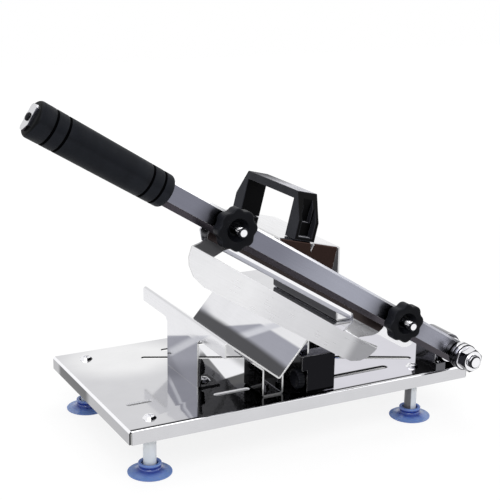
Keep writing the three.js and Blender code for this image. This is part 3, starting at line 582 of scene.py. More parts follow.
def blank(name: str) -> tuple[bpy.types.Material, Graph]:
    """Starts a material.

    Args:
        name: its name.

    Returns:
        The empty material and its graph.
    """
    made = bpy.data.materials.new(name)
    made.use_nodes = True
    return made, Graph(made.node_tree)


# ---------------------------------------------------------------- forms


class Outline(Enum):
    """Shape of a turned piece seen along its axis."""

    ROUND = "round"
    HEXAGON = "hexagon"
    WAVY = "wavy"


@dataclass(frozen=True)
class Stop:
    """One ring of a turned piece: its radius and place on the axis."""

    radius: float
    height: float
    outline: Outline = Outline.ROUND
    tint: float = 0.0
    least: float = math.inf
    slot: int = 0


@dataclass(frozen=True)
class Axis:
    """Axis that a piece is turned about."""

    origin: Vector
    along: Vector

    def at(self, radius: float, angle: float, height: float) -> Vector:
        """A point beside the axis.

        Args:
            radius: how far it lies from the axis.
            angle: its turn about the axis.
            height: its place along the axis.

        Returns:
            The point, in millimetres.
        """
        side = self.along.orthogonal().normalized()
        reach = side * math.cos(angle) + self.along.cross(side) * math.sin(angle)
        return self.origin + self.along * height + reach * radius

    def moved(self, distance: float) -> "Axis":
        """The same axis, starting further on."""
        return Axis(self.origin + self.along * distance, self.along)


@dataclass
class Form:
    """A mesh in the making, in millimetres, with a tint and a finish slot."""

    points: list[Vector] = field(default_factory=list)
    faces: list[tuple[int, ...]] = field(default_factory=list)
    tints: list[float] = field(default_factory=list)
    slots: list[int] = field(default_factory=list)

    def add_point(self, point: Vector, tint: float = 0.0) -> int:
        """Adds a point.

        Args:
            point: where it lies.
            tint: its tint.

        Returns:
            Its number.
        """
        self.points.append(point)
        self.tints.append(tint)
        return len(self.points) - 1

    def add_face(self, corners: Sequence[int], slot: int = 0) -> None:
        """Adds a face, unless fewer than three of its corners differ.

        Args:
            corners: the numbers of its points.
            slot: its finish slot.
        """
        kept = tuple(dict.fromkeys(corners))
        if len(kept) > 2:
            self.faces.append(kept)
            self.slots.append(slot)

    def join(self, rings: Sequence[Sequence[int]], slots: Sequence[int]) -> None:
        """Faces between rings that follow each other.

        Args:
            rings: the point numbers of each ring.
            slots: the finish slot of each ring's following strip.
        """
        for near, far, slot in zip(rings, rings[1:], slots):
            count = len(near)
            for i in range(count):
                j = (i + 1) % count
                self.add_face((near[i], near[j], far[j], far[i]), slot)

    def turn(
        self,
        axis: Axis,
        stops: Sequence[Stop],
        steps: int,
        wave: Callable[[float], float] | None = None,
    ) -> "Form":
        """Adds a piece turned about an axis.

        Args:
            axis: the axis.
            stops: its rings in order, with a radius of 0 where it closes.
            steps: how many points a ring has.
            wave: how far a wavy ring draws in at an angle.

        Returns:
            This form.
        """
        rings: list[list[int]] = []
        for stop in stops:
            if stop.radius == 0:
                pole = self.add_point(axis.at(0, 0, stop.height), stop.tint)
                rings.append([pole] * steps)
                continue
            ring: list[int] = []
            for i in range(steps):
                angle = math.tau * i / steps
                radius = stop.radius
                if stop.outline is Outline.HEXAGON:
                    turn = (angle + math.pi / 6) % (math.pi / 3) - math.pi / 6
                    radius = min(radius / math.cos(turn), stop.least)
                elif stop.outline is Outline.WAVY and wave:
                    radius -= wave(angle)
                ring.append(self.add_point(axis.at(radius, angle, stop.height), stop.tint))
            rings.append(ring)
        self.join(rings, [stop.slot for stop in stops])
        return self

    def mesh(self, name: str) -> bpy.types.Mesh:
        """Makes the mesh in metres, its faces looking outward.

        Args:
            name: the mesh's name.

        Returns:
            The mesh.
        """
        made = bpy.data.meshes.new(name)
        made.from_pydata([point * MM for point in self.points], [], self.faces)
        made.polygons.foreach_set("material_index", self.slots)
        tint = made.attributes.new("tint", "FLOAT", "POINT")
        tint.data.foreach_set("value", self.tints)
        work = bmesh.new()
        work.from_mesh(made)
        bmesh.ops.recalc_face_normals(work, faces=work.faces)
        work.to_mesh(made)
        work.free()
        return made


def bend(
    centre: tuple[float, float], reach: float, start: float, end: float, steps: int, **look: Any
) -> list[Stop]:
    """Rings that follow an arc.

    Args:
        centre: the arc's centre as radius and height.
        reach: its own radius.
        start: where it starts, in degrees from the radius direction.
        end: where it ends, in degrees.
        steps: how many parts it has.
        look: the outline, tint or slot of the rings.

    Returns:
        The rings in order.
    """
    turns = [math.radians(start + (end - start) * i / steps) for i in range(steps + 1)]
    radius, height = centre
    return [
        Stop(radius + reach * math.cos(t), height + reach * math.sin(t), **look) for t in turns
    ]


# ---------------------------------------------------------------- pieces


@dataclass(frozen=True)
class Dress:
    """The finishes of a piece: its faces, its broken edges and its cut ends."""

    face: Finish
    edge: Finish | None = None
    cut: Finish | None = None
    # where the slot is dark_mirror_steel, the piece's darkness is painted: a dark reflection
    slot: str = "polished_steel"


class Bench:
    """Where pieces are made: keeps each finish's material and ties each piece to its body."""

    weld = 0.004
    flat_angle = 0.8
    smooth_angle = 28.0
    broken_angle = 40.0
    edge_steps = 2
    skin = 0.01
    slack = 1.35

    def __init__(self) -> None:
        """Starts with no materials."""
        self._materials: dict[str, bpy.types.Material] = {}
        self.made = 0

    def material(self, finish: Finish) -> bpy.types.Material:
        """The material of a finish, made the first time that it is used.

        Args:
            finish: the finish.

        Returns:
            Its material.
        """
        if finish.name not in self._materials:
            self._materials[finish.name] = finish.material()
        return self._materials[finish.name]

    def place(self, mesh: bpy.types.Mesh, dress: Dress, body: str, *nodes: str) -> bpy.types.Object:
        """Puts a piece in the scene in place of CAD nodes.

        Args:
            mesh: the piece's mesh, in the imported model's frame.
            dress: its finishes.
            body: the body that it moves with.
            nodes: the CAD nodes that it stands for.

        Returns:
            The piece.
        """
        piece = bpy.data.objects.new(mesh.name, mesh)
        bpy.context.scene.collection.objects.link(piece)
        edge = dress.edge or dress.face
        for finish in (dress.face, edge, dress.cut or edge):
            mesh.materials.append(self.material(finish))
        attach(piece, body)
        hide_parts(*nodes)
        self.made += 1
        LOG.info("%s stands for %s on %s", piece.name, ", ".join(nodes), body)
        return piece

    def turned(
        self, form: Form, name: str, dress: Dress, body: str, *nodes: str, sharp: float = 38.0
    ) -> bpy.types.Object:
        """Places a form as a smoothly shaded piece.

        Args:
            form: the form.
            name: the piece's name.
            dress: its finishes.
            body: the body that it moves with.
            nodes: the CAD nodes that it stands for.
            sharp: the angle in degrees from which an edge stays sharp.

        Returns:
            The piece.
        """
        mesh = form.mesh(name)
        mesh.shade_smooth()
        mesh.set_sharp_from_angle(angle=math.radians(sharp))
        return self.place(mesh, dress, body, *nodes)

    def copied(self, node: str, dress: Dress, body: str, edge: float) -> bpy.types.Object:
        """Places a copy of a CAD node with its edges broken.

        Args:
            node: the CAD node.
            dress: its finishes, with a cut finish where it is folded sheet.
            body: the body that it moves with.
            edge: how wide its broken edges are.

        Returns:
            The piece.
        """
        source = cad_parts[node]
        work = bmesh.new()
        work.from_mesh(source.data)
        work.transform(source.matrix_world)
        bmesh.ops.remove_doubles(work, verts=work.verts, dist=self.weld * MM)
        if dress.cut:
            self._mark_cut_ends(work)
        angle = math.radians(self.flat_angle)
        bmesh.ops.dissolve_limit(
            work, angle_limit=angle, verts=work.verts, edges=work.edges, delimit={"MATERIAL"}
        )
        bare = bpy.data.meshes.new("bare")
        work.to_mesh(bare)
        work.free()
        mesh = bpy.data.meshes.new(node + "_piece")
        faces = [tuple(p.vertices) for p in bare.polygons]
        mesh.from_pydata([v.co for v in bare.vertices], [], faces)
        mesh.polygons.foreach_set("material_index", [p.material_index for p in bare.polygons])
        bpy.data.meshes.remove(bare)
        mesh.shade_smooth()
        mesh.set_sharp_from_angle(angle=math.radians(self.smooth_angle))
        piece = self.place(mesh, dress, body, node)
        bevel = piece.modifiers.new("broken_edges", "BEVEL")
        bevel.width = edge * MM
        bevel.segments = self.edge_steps
        bevel.limit_method = "ANGLE"
        bevel.angle_limit = math.radians(self.broken_angle)
        bevel.harden_normals = True
        # the bevels take the edge finish: on most pieces a painted highlight along the edge
        if dress.edge:
            bevel.material = 1
        return piece

    def _mark_cut_ends(self, work: bmesh.types.BMesh) -> None:
        """Gives the third slot to a folded sheet's faces with more than its thickness behind them.

        Args:
            work: the folded sheet.
        """
        for face in work.faces:
            face.material_index = 0
        tree = BVHTree.FromBMesh(work)
        work.normal_update()
        for face in work.faces:
            start = face.calc_center_median() - face.normal * self.skin * MM
            depth = tree.ray_cast(start, -face.normal)[3]
            if depth is None or depth > SHEET * self.slack * MM:
                face.material_index = 2


def middle(node: str) -> Vector:
    """Middle of a CAD node's box, in millimetres."""
    low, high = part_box(node)
    return (Vector(low) + Vector(high)) / (2 * MM)


def span(node: str, along: Vector) -> tuple[float, float]:
    """Reach of a CAD node along a direction.

    Args:
        node: the CAD node.
        along: the direction.

    Returns:
        Its lowest and highest reach, in millimetres.
    """
    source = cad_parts[node]
    reaches = [(source.matrix_world @ v.co).dot(along) / MM for v in source.data.vertices]
    return min(reaches), max(reaches)


def upright(node: str) -> Axis:
    """Upright axis through a CAD node's middle, from the ground."""
    centre = middle(node)
    return Axis(Vector((centre.x, centre.y, 0)), Vector(UP))


def spindle(node: str, along: Triple) -> tuple[Axis, float]:
    """Axis that a CAD node is turned about.

    Args:
        node: the CAD node.
        along: the way that its axis runs.

    Returns:
        The axis, which starts at the node's near end, and the node's length in millimetres.
    """
    way = Vector(along)
    near, far = span(node, way)
    centre = middle(node)
    return Axis(centre + way * (near - centre.dot(way)), way), far - near


# ---------------------------------------------------------------- finishes of this slicer

# Most tones below are painted light: whole finishes and their patches stand in for what the
# polished steel reflects, its highlights and its shade.
BAR_DROP = math.radians(31.6)
LINE_OF_BAR: Triple = (math.cos(BAR_DROP), 0.0, -math.sin(BAR_DROP))
SQUARE_TO_BAR: Triple = (math.sin(BAR_DROP), 0.0, math.cos(BAR_DROP))
UNDER_BAR: Triple = tuple(-part for part in SQUARE_TO_BAR)
TO_GRIP: Triple = tuple(-part for part in LINE_OF_BAR)
UPPER_FRONT: Triple = tuple((a + b) / math.sqrt(2) for a, b in zip(SQUARE_TO_BAR, FRONT))
LOWER_CORNER: Triple = tuple((a + b) / math.sqrt(2) for a, b in zip(UNDER_BAR, FRONT))

ALONG_LEG: Triple = (0.896, -0.444, 0.0)
BEHIND_LEG: Triple = (0.987, -0.159, 0.0)
BEFORE_LEG: Triple = tuple(-part for part in BEHIND_LEG)
FRONT_BEND: Triple = (0.0, -0.707, 0.707)
LEFT_BEND: Triple = (-0.707, 0.0, 0.707)
UPPER_LEG: Triple = (0.0, -0.314, -0.949)
MID_LEG: Triple = (0.0, 0.4, -0.917)
WINDOW_TOP: Triple = (0.3, 0.0, 0.95)

# Painted reflections on the mirror deck: light at the back left, lavender on the right, grey and
# flange darker towards its back. The dark strips round two slots and along the front edge are
# near-black bands where dark things are mirrored, bright bends as painted highlights, and a left
# painted shade.
DECK = Steel(
    name="deck_mirror_steel",
    tone=grey(206),
    roughness=0.07,
    line_depth=0.001,
    line_shade=0.03,
    patches=(
        toward(UP, grey(236, 1), Spot((-112, 62, 49), (75, 60, 30), 0.6)),
        toward(UP, shade(208, 207, 215), Side(RIGHT, 16, 4)),
        toward(UP, grey(178), Side(RIGHT, -24, 10), Side(LEFT, -16, 4), Side(BACK, -26, 6)),
        toward(UP, grey(236), Side(BEHIND_LEG, -44.2), Side(LEFT, 22, 12), Side(BACK, -27, 6)),
        toward(
            UP,
            grey(92),
            Side(ALONG_LEG, -56.6),
            Side(BEFORE_LEG, 44.2),
            Side(BACK, -32, 6),
            Side(FRONT, -42, 16),
        ),
        toward(
            UP,
            grey(30),
            Side(ALONG_LEG, -56.6, 1.5),
            Side((0.238, -0.971, 0.0), 13.4, 3),
            Side(LEFT, -17, 3),
        ),
        toward(UP, grey(20), Side((0.8, -0.6, 0.0), 144.3, 1.5)),
        toward(UP, grey(40), Side(FRONT, 90.2, 0.6), least=0.6),
        toward(UP, grey(18), Strip((30.6, -64.0, 49.1), (96.0, -64.0, 49.1), 4.2)),
        toward(UP, grey(18), Strip((67.0, -22.0, 49.1), (130.0, -54.0, 49.1), 4.0)),
        toward(FRONT_BEND, grey(250), least=0.9, soft=0.14),
        toward(FRONT, grey(206)),
        toward(LEFT, grey(172)),
        toward(LEFT, grey(70), Side(BACK, 2, 14), Side(FRONT, -76, 10)),
        toward(LEFT_BEND, grey(250), least=0.9, soft=0.14),
    ),
)
# The deck's cut faces, the slot walls among them: painted shade, near-black, with painted light
# in three slots.
DECK_CUT = Steel(
    name="deck_cut_edge",
    tone=grey(14),
    roughness=0.4,
    line=0.3,
    line_depth=0.01,
    patches=(
        Patch(grey(225), (Spot((-57.4, -55, 48), (26, 9, 9)),)),
        Patch(grey(222), (Spot((-139.5, -42, 48), (20, 9, 9)),)),
        Patch(grey(96), (Spot((-47, 65, 48), (34, 9, 9)),)),
    ),
)
# Painted reflections on the trough: left faces lighter high up and greyer lower down, a bluish
# tone on faces that look down, and painted shade along the valley.
FOLDED = Steel(
    name="folded_bright_steel",
    tone=grey(212),
    roughness=0.12,
    heading=BACK,
    line_depth=0.002,
    patches=(
        toward(LEFT, grey(230), Side(UP, 60, 10)),
        toward(LEFT, shade(152, 153, 164), Side(UPPER_LEG, -82.5), Side(DOWN, -92.5)),
        toward(
            LEFT,
            shade(206, 207, 214),
            Side(UPPER_LEG, -82.5),
            Side((0.0, 0.5, 0.866), 62.5, 3),
            Side((0.0, -0.5, -0.866), -69.0, 6),
        ),
        toward(LEFT, shade(128, 129, 140), Side(MID_LEG, -46.5, 12), Side(DOWN, -80, 12)),
        toward((0.5, 0.0, -0.8), grey(214, 8), least=0.8),
        toward(UP, grey(74), Spot((-28.7, -2, 71), (14, 200, 14)), least=0.3),
    ),
)
# Saddle and front support: painted dark reflections, near-black on faces that look front and
# left, with a painted highlight along the lower front bend.
FOLDED_DARK_REFLECTION = Steel(
    name="folded_steel_painted_dark_reflection",
    tone=grey(150),
    roughness=0.1,
    heading=UP,
    line_depth=0.001,
    patches=(
        toward(FRONT, grey(26), least=0.6),
        toward(LEFT, grey(20), least=0.6),
        toward(UP, grey(120), least=0.6),
        toward(FRONT_BEND, grey(216), Side(DOWN, -62, 4), least=0.85, soft=0.1),
    ),
)
# Leg brackets: a painted dark reflection, darker still on their tops.
BRACKET = Steel(
    name="bracket_steel_painted_dark_reflection",
    tone=grey(62),
    roughness=0.12,
    heading=UP,
    line_depth=0.001,
    patches=(toward(UP, grey(40), least=0.6),),
)
# Cut ends of the sheets: a rougher cut finish, painted light as a highlight along the edges.
CUT_END = Steel(name="cut_sheet_end", tone=grey(232), roughness=0.32, line=0.3, line_depth=0.01)
# Broken edges of the steel: painted light, a highlight along each edge.
STEEL_EDGE_HIGHLIGHT = Steel(name="steel_edge_painted_highlight", tone=grey(236), roughness=0.18, line_depth=0.002)
# Painted reflections on the bar: a light top, a grey underside, lighter front areas, dark areas
# where the knobs and pivot are mirrored, and painted shade on the lower corner.
BAR = Steel(
    name="bar_ground_steel",
    tone=shade(120, 121, 133),
    roughness=0.24,
    heading=LINE_OF_BAR,
    line=0.7,
    line_depth=0.006,
    line_shade=0.1,
    patches=(
        toward(SQUARE_TO_BAR, grey(236), least=0.6),
        toward(UNDER_BAR, grey(150), least=0.6),
        toward(TO_GRIP, grey(210), least=0.8),
        toward(FRONT, shade(158, 160, 172), Spot((22, -104, 142), (92, 40, 80), 0.9)),
        toward(FRONT, shade(146, 147, 158), Side(RIGHT, 96, 10)),
        toward(FRONT, grey(44), Spot((-92, -104, 214), (36, 40, 32), 0.85)),
        toward(FRONT, grey(52), Spot((78, -104, 112), (44, 40, 38), 0.9)),
        toward(FRONT, grey(58), Spot((151, -104, 66.8), (27, 40, 27), 0.55)),
        toward(LOWER_CORNER, shade(64, 60, 66), least=0.9),
    ),
)
# Painted reflections on the blade: a white band along its top edge, and dark and bright zones
# towards its ends.
BLADE = Steel(
    name="blade_ground_steel",
    tone=shade(176, 177, 186),
    roughness=0.2,
    heading=SQUARE_TO_BAR,
    line=0.35,
    line_depth=0.006,
    line_shade=0.12,
    patches=(
        toward(FRONT, grey(246), Side(SQUARE_TO_BAR, 119.9, 0.8), least=0.5),
        toward(FRONT, grey(70), Side(LINE_OF_BAR, -8, 6), Side(TO_GRIP, -2, 6), least=0.5),
        toward(FRONT, grey(236), Side(LINE_OF_BAR, 6, 5), least=0.5),
        toward(FRONT, grey(84), Side(TO_GRIP, 178, 10), least=0.5),
    ),
)
# Painted reflections on the guard: greyer towards its right end, lighter and darker upper faces,
# and a brownish dark reflection along the top of its front.
GUARD = Steel(
    name="guard_satin_steel",
    tone=grey(232, 2),
    roughness=0.3,
    heading=LINE_OF_BAR,
    line=0.6,
    line_depth=0.001,
    line_shade=0.07,
    hairline=0.15,
    metal=0.6,
    patches=(
        toward(FRONT, grey(214), Side(LINE_OF_BAR, -120, 50), Side(TO_GRIP, 50, 50)),
        toward(FRONT, grey(200), Side(LINE_OF_BAR, -60, 60)),
        toward(FRONT, shade(152, 152, 156), Side(LINE_OF_BAR, -20, 12)),
        toward(SQUARE_TO_BAR, grey(230), Side(RIGHT, 0, 40), least=0.45, soft=0.2),
        toward(SQUARE_TO_BAR, grey(130), Side(LEFT, 20, 60), least=0.45, soft=0.2),
        toward(FRONT, shade(44, 34, 34), Side(SQUARE_TO_BAR, 119.0, 1.0), least=0.9),
    ),
)
# Painted reflections on the fasteners: dark on faces that look down and left, grey on faces that
# look down and right, and dark on two slopes.
BRIGHT = Steel(
    name="bright_fastener_steel",
    tone=grey(222),
    roughness=0.13,
    heading=UP,
    line_depth=0.003,
    smudge=4.0,
    patches=(
        toward((-0.75, 0.0, -0.66), grey(58, 6), least=0.75, soft=0.3),
        toward((0.75, 0.0, -0.66), grey(92, 6), least=0.7, soft=0.35),
        toward((-0.2, -0.66, 0.72), grey(70, 6), least=0.93, soft=0.06),
        toward((-0.7, -0.7, 0.1), grey(110, 6), least=0.9, soft=0.08),
    ),
)
# Painted reflections on the domed screw heads: near-black on the front-right slope, grey on the
# front-left.
SCREW = Steel(
    name="domed_screw_steel",
    tone=grey(240),
    roughness=0.1,
    line_depth=0.001,
    smudge=4.0,
    patches=(
        toward((0.45, -0.75, 0.48), grey(14), least=0.84, soft=0.08),
        toward((-0.7, -0.7, 0.1), grey(84), least=0.9, soft=0.08),
    ),
)
# Painted reflections on the turned chrome: dark and bright crescents round the washers, nut and
# bolt, and a bright face at the bolt's end.
CHROME = Steel(
    name="turned_chrome_steel",
    tone=grey(236),
    roughness=0.1,
    heading=BACK,
    line_depth=0.002,
    smudge=4.0,
    patches=(
        toward((-1.0, 0.0, -0.1), grey(46, 5), least=0.9, soft=0.08),
        toward((-0.6, 0.0, -0.8), grey(24, 4), least=0.8, soft=0.12),
        toward(WINDOW_TOP, grey(52, 5), least=0.985, soft=0.01),
        toward((0.8, 0.0, -0.6), grey(86, 5), least=0.8, soft=0.2),
        toward(FRONT, grey(34, 4), least=0.5, soft=0.12),
        toward(FRONT, grey(240), least=0.94, soft=0.03),
    ),
)
# Rounded rims of the washers: painted shade, dark lines between the stacked washers.
WASHER_RIM_SHADE = Steel(name="washer_rim_painted_shade", tone=grey(30), roughness=0.3)
# Pivot strap and sleeve: a painted dark reflection, darker on left faces and low down, lighter
# on faces that look up and left.
STRAP = Steel(
    name="strap_steel_painted_dark_reflection",
    tone=grey(96, 6),
    roughness=0.14,
    heading=UP,
    patches=(
        toward(LEFT, grey(74, 4), least=0.6, soft=0.4),
        toward(LEFT, grey(54), Side(DOWN, -56, 8)),
        toward((-0.5, 0.0, 0.87), grey(122, 6), least=0.9, soft=0.2),
    ),
)
# Arm stop: a painted dark reflection, a little lighter on its front and darker on its left.
STOP_BLOCK = Steel(
    name="stop_steel_painted_dark_reflection",
    tone=grey(88, 4),
    roughness=0.2,
    heading=UP,
    patches=(
        toward(FRONT, grey(98, 4)),
        toward(LEFT, grey(70)),
    ),
)
# Pusher plate: a brown-black painted reflection on its front lip and dark painted reflections on
# its left faces; its strong polishing streaks are grain.
PUSHER = Steel(
    name="pusher_bright_steel",
    tone=grey(220),
    roughness=0.12,
    heading=BACK,
    line=1.6,
    stretch=14.0,
    line_shade=0.3,
    patches=(
        toward(FRONT, shade(45, 34, 31), least=0.7),
        toward(LEFT, grey(60), least=0.6),
    ),
)
# Black plastic, with a painted sheen on faces that look up and to the left.
BLACK = Plastic(
    name="black_moulded_plastic",
    tone=shade(13, 14, 18),
    roughness=0.42,
    specular=0.07,
    patches=(toward((-0.8, 0.0, 0.6), shade(26, 27, 32), least=0.7, soft=0.4),),
)
# Handle: painted shade makes its front faces black; its top faces get a painted sheen, with a
# painted highlight towards the front.
HANDLE = Plastic(
    name="black_handle_plastic",
    tone=shade(38, 39, 44),
    roughness=0.46,
    specular=0.06,
    patches=(
        toward(FRONT, shade(0, 0, 1), least=0.7),
        toward(WINDOW_TOP, shade(48, 48, 54), least=0.9, soft=0.1),
        toward(WINDOW_TOP, shade(196, 196, 202), Side(FRONT, 24, 70), least=0.9, soft=0.1),
    ),
)
# Broken edges of the handle: painted light, a grey highlight along each edge.
PLASTIC_EDGE_HIGHLIGHT = Plastic(
    name="black_plastic_edge_painted_highlight", tone=shade(36, 36, 42), roughness=0.36, specular=0.1
)
# Deep part of the grip's grooves: painted shade, near-black.
GRIP_GROOVE_SHADE = Plastic(
    name="grip_groove_painted_shade", tone=shade(1, 1, 2), roughness=0.7, specular=0.02
)
# Grip: a painted sheen on its upper front faces and along its lower front corner.
GRIP = Plastic(
    name="black_grip_plastic",
    tone=shade(8, 9, 11),
    roughness=0.5,
    specular=0.06,
    grain=0.9,
    grain_depth=0.04,
    patches=(
        toward(UPPER_FRONT, shade(22, 24, 29), least=0.85, soft=0.35),
        toward(LOWER_CORNER, shade(26, 28, 33), least=0.8, soft=0.2),
    ),
)
# Nylon posts, with painted shade on the left faces of the posts on the right.
NYLON = Translucent(
    name="white_nylon",
    deep=shade(214, 222, 230),
    thin=shade(244, 248, 252),
    roughness=0.34,
    glow=(1.0, 1.0, 1.0),
    weight=0.3,
    patches=(toward((-0.94, -0.34, 0.0), grey(104), Side(RIGHT, 0, 4), least=0.8, soft=0.1),),
)
BLUE = Translucent(
    name="blue_cup_rubber",
    deep=shade(8, 44, 138),
    thin=shade(118, 148, 210),
    roughness=0.18,
    glow=(0.3, 0.6, 1.0),
    weight=0.25,
)


# ---------------------------------------------------------------- sub-assemblies


@dataclass
class Assembly:
    """Pieces that are made together at one bench."""

    bench: Bench


class Corner(Enum):
    """The deck's four feet."""

    FRONT_LEFT = "front_left"
    FRONT_RIGHT = "front_right"
    REAR_LEFT = "rear_left"
    REAR_RIGHT = "rear_right"


@dataclass
class Foot(Assembly):
    """Screw, nylon post and suction cup under one corner of the deck."""

    corner: Corner
    screw_edge: float = 0.15
    post_radius: float = 5.7
    post_edge: float = 0.7
    post_steps: int = 64
    stud_length: float = 2.5
    stud_share: float = 0.5
    seam_depth: float = 0.12
    seam_reach: float = 0.35
    cup_radius: float = 19.0
    cup_rim: float = 0.9
    rim_share: float = 0.35
    cup_hollow: float = 1.5
    hollow_power: float = 2.2
    hollow_shares: tuple[float, ...] = (0.25, 0.45, 0.65, 0.8, 0.9)
    bell_height: float = 3.2
    bell_power: float = 2.4
    bell_shares: tuple[float, ...] = (0.0, 0.12, 0.25, 0.4, 0.55, 0.7, 0.85, 1.0)
    collar_radius: float = 9.9
    groove_low: float = 5.1
    groove_high: float = 6.85
    groove_depth: float = 0.7
    shoulder: float = 0.3
    well_radius: float = 7.2
    well_floor: float = 5.0
    lip: float = 0.6
    cup_steps: int = 112

    def build(self) -> None:
        """Makes the three pieces."""
        screw = "foot_screw_" + self.corner.value
        self.bench.copied(screw, Dress(SCREW, slot="bright_steel"), "base", self.screw_edge)
        self._post()
        self._cup()

    def _post(self) -> None:
        """Nylon post with eased ends, a stud below and a low moulding line round its middle."""
        name = self.corner.value
        node = "foot_post_" + name
        bottom, high = span(node, Vector(UP))
        low = bottom + self.stud_length
        radius, edge = self.post_radius, self.post_edge
        stud, waist = radius * self.stud_share, radius - self.seam_depth
        seam = (low + high) / 2
        # The tint is low at the stud and the foot and highest on the moulding line, so the post is
        # darker towards the foot and lightest along the line.
        stops = [
            Stop(0, bottom, tint=0.2),
            Stop(stud, bottom, tint=0.2),
            Stop(stud, low, tint=0.2),
            Stop(radius - edge, low, tint=0.2),
            *bend((radius - edge, low + edge), edge, -90, 0, 4, tint=0.3),
            Stop(waist, seam - self.seam_reach, tint=0.8),
            Stop(radius, seam, tint=1.0),
            Stop(waist, seam + self.seam_reach, tint=0.8),
            *bend((radius - edge, high - edge), edge, 0, 90, 4, tint=0.8),
            Stop(0, high, tint=0.6),
        ]
        form = Form().turn(upright(node), stops, self.post_steps)
        dress = Dress(NYLON, slot="white_nylon")
        self.bench.turned(form, "nylon_post_" + name, dress, "base", node)

    def _cup(self) -> None:
        """Suction cup: thin flange, and a grooved collar with a rolled lip round its well."""
        name = self.corner.value
        node = "suction_cup_" + name
        top = span(node, Vector(UP))[1]
        flange, rim, rise = self.cup_radius, self.cup_rim, self.bell_height - self.cup_rim
        collar, well, lip = self.collar_radius, self.well_radius, self.lip
        waist, eased = collar - self.groove_depth, collar - self.seam_depth
        low, high, floor = self.groove_low, self.groove_high, self.well_floor
        under = [
            Stop(r * flange, self.cup_hollow * (1 - r**self.hollow_power), tint=0.7 + 0.3 * r)
            for r in self.hollow_shares
        ]
        bell = [
            Stop(
                flange + (collar - flange) * t,
                rim + rise * t**self.bell_power,
                tint=max(1.0 - 0.75 * t**2, 0.1),
            )
            for t in self.bell_shares
        ]
        # Tints: the flange pales towards its thin rim and the collar stays deep, as the rubber
        # does;
        # the rolled lip and the groove's lower shoulder are lifted as painted highlights.
        stops = [
            Stop(0, self.cup_hollow, tint=0.5),
            *under,
            Stop(flange - rim / 2, 0.0, tint=0.3),
            Stop(flange, rim * self.rim_share, tint=0.1),
            *bell,
            Stop(collar, low - self.shoulder, tint=0.1),
            Stop(eased, low, tint=0.55),
            Stop(waist, low + self.groove_depth, tint=0.0),
            Stop(waist, high - self.groove_depth, tint=0.0),
            Stop(eased, high, tint=0.1),
            Stop(collar, high + self.shoulder, tint=0.1),
            *bend((collar - lip, top - lip), lip, 0, 90, 5, tint=0.7),
            *bend((well + lip, top - lip), lip, 90, 180, 5, tint=0.6),
            Stop(well, floor + self.shoulder, tint=0.2),
            Stop(well - self.shoulder, floor, tint=0.1),
            Stop(0, floor, tint=0.1),
        ]
        form = Form().turn(upright(node), stops, self.cup_steps)
        self.bench.turned(form, "cup_" + name, Dress(BLUE, slot="blue_rubber"), "base", node)


@dataclass
class Deck(Assembly):
    """Folded deck tray on its four feet."""

    edge: float = 0.22

    def build(self) -> None:
        """Makes the tray and the feet."""
        self.bench.copied("base_plate", Dress(DECK, STEEL_EDGE_HIGHLIGHT, DECK_CUT), "base", self.edge)
        for corner in Corner:
            Foot(self.bench, corner).build()


@dataclass
class ThumbScrew(Assembly):
    """Knurled black thumb screw along X."""

    node: str
    body: str
    outward: int
    head_length: float = 5.0
    teeth: int = 18
    tooth: float = 0.8
    tooth_steps: int = 8
    edge: float = 0.8
    edge_turn: float = 70.0
    collar: float = 5.0
    collar_length: float = 1.7
    dish: float = 0.7
    dish_inset: float = 2.4
    dish_slope: float = 0.6
    shank: float = 2.5
    shank_ease: float = 0.4

    def build(self) -> None:
        """Makes the knurled head with its collar, and the shank behind it."""
        axis, total = spindle(self.node, (self.outward, 0, 0))
        low, high = span(self.node, Vector(UP))
        head = total - self.head_length
        rim, edge, turn = (high - low) / 2, self.edge, self.edge_turn
        # The shank and collar take the bright steel finish; on the collar it is a painted highlight
        # beside the knurled head.
        stops = [
            Stop(0, 0, slot=1),
            Stop(self.shank - self.shank_ease, 0, slot=1),
            Stop(self.shank, self.shank_ease, slot=1),
            Stop(self.shank, head - self.collar_length),
            Stop(self.collar, head - self.collar_length, slot=1),
            Stop(self.collar, head),
            Stop(rim - edge, head),
            *bend((rim - edge, head + edge), edge, -turn, 0, 3, outline=Outline.WAVY),
            *bend((rim - edge, total - edge), edge, 0, turn, 3, outline=Outline.WAVY),
            Stop(rim - edge - self.tooth, total),
            Stop(rim - self.dish_inset, total),
            Stop(rim - self.dish_inset - self.dish_slope, total - self.dish),
            Stop(0, total - self.dish),
        ]
        form = Form().turn(axis, stops, self.teeth * self.tooth_steps, self._wave)
        dress = Dress(BLACK, BRIGHT, slot="black_plastic")
        self.bench.turned(form, "knurled_" + self.node, dress, self.body, self.node, sharp=50)

    def _wave(self, angle: float) -> float:
        """Depth of the valleys between the teeth."""
        return self.tooth * (1 - math.cos(self.teeth * angle)) / 2


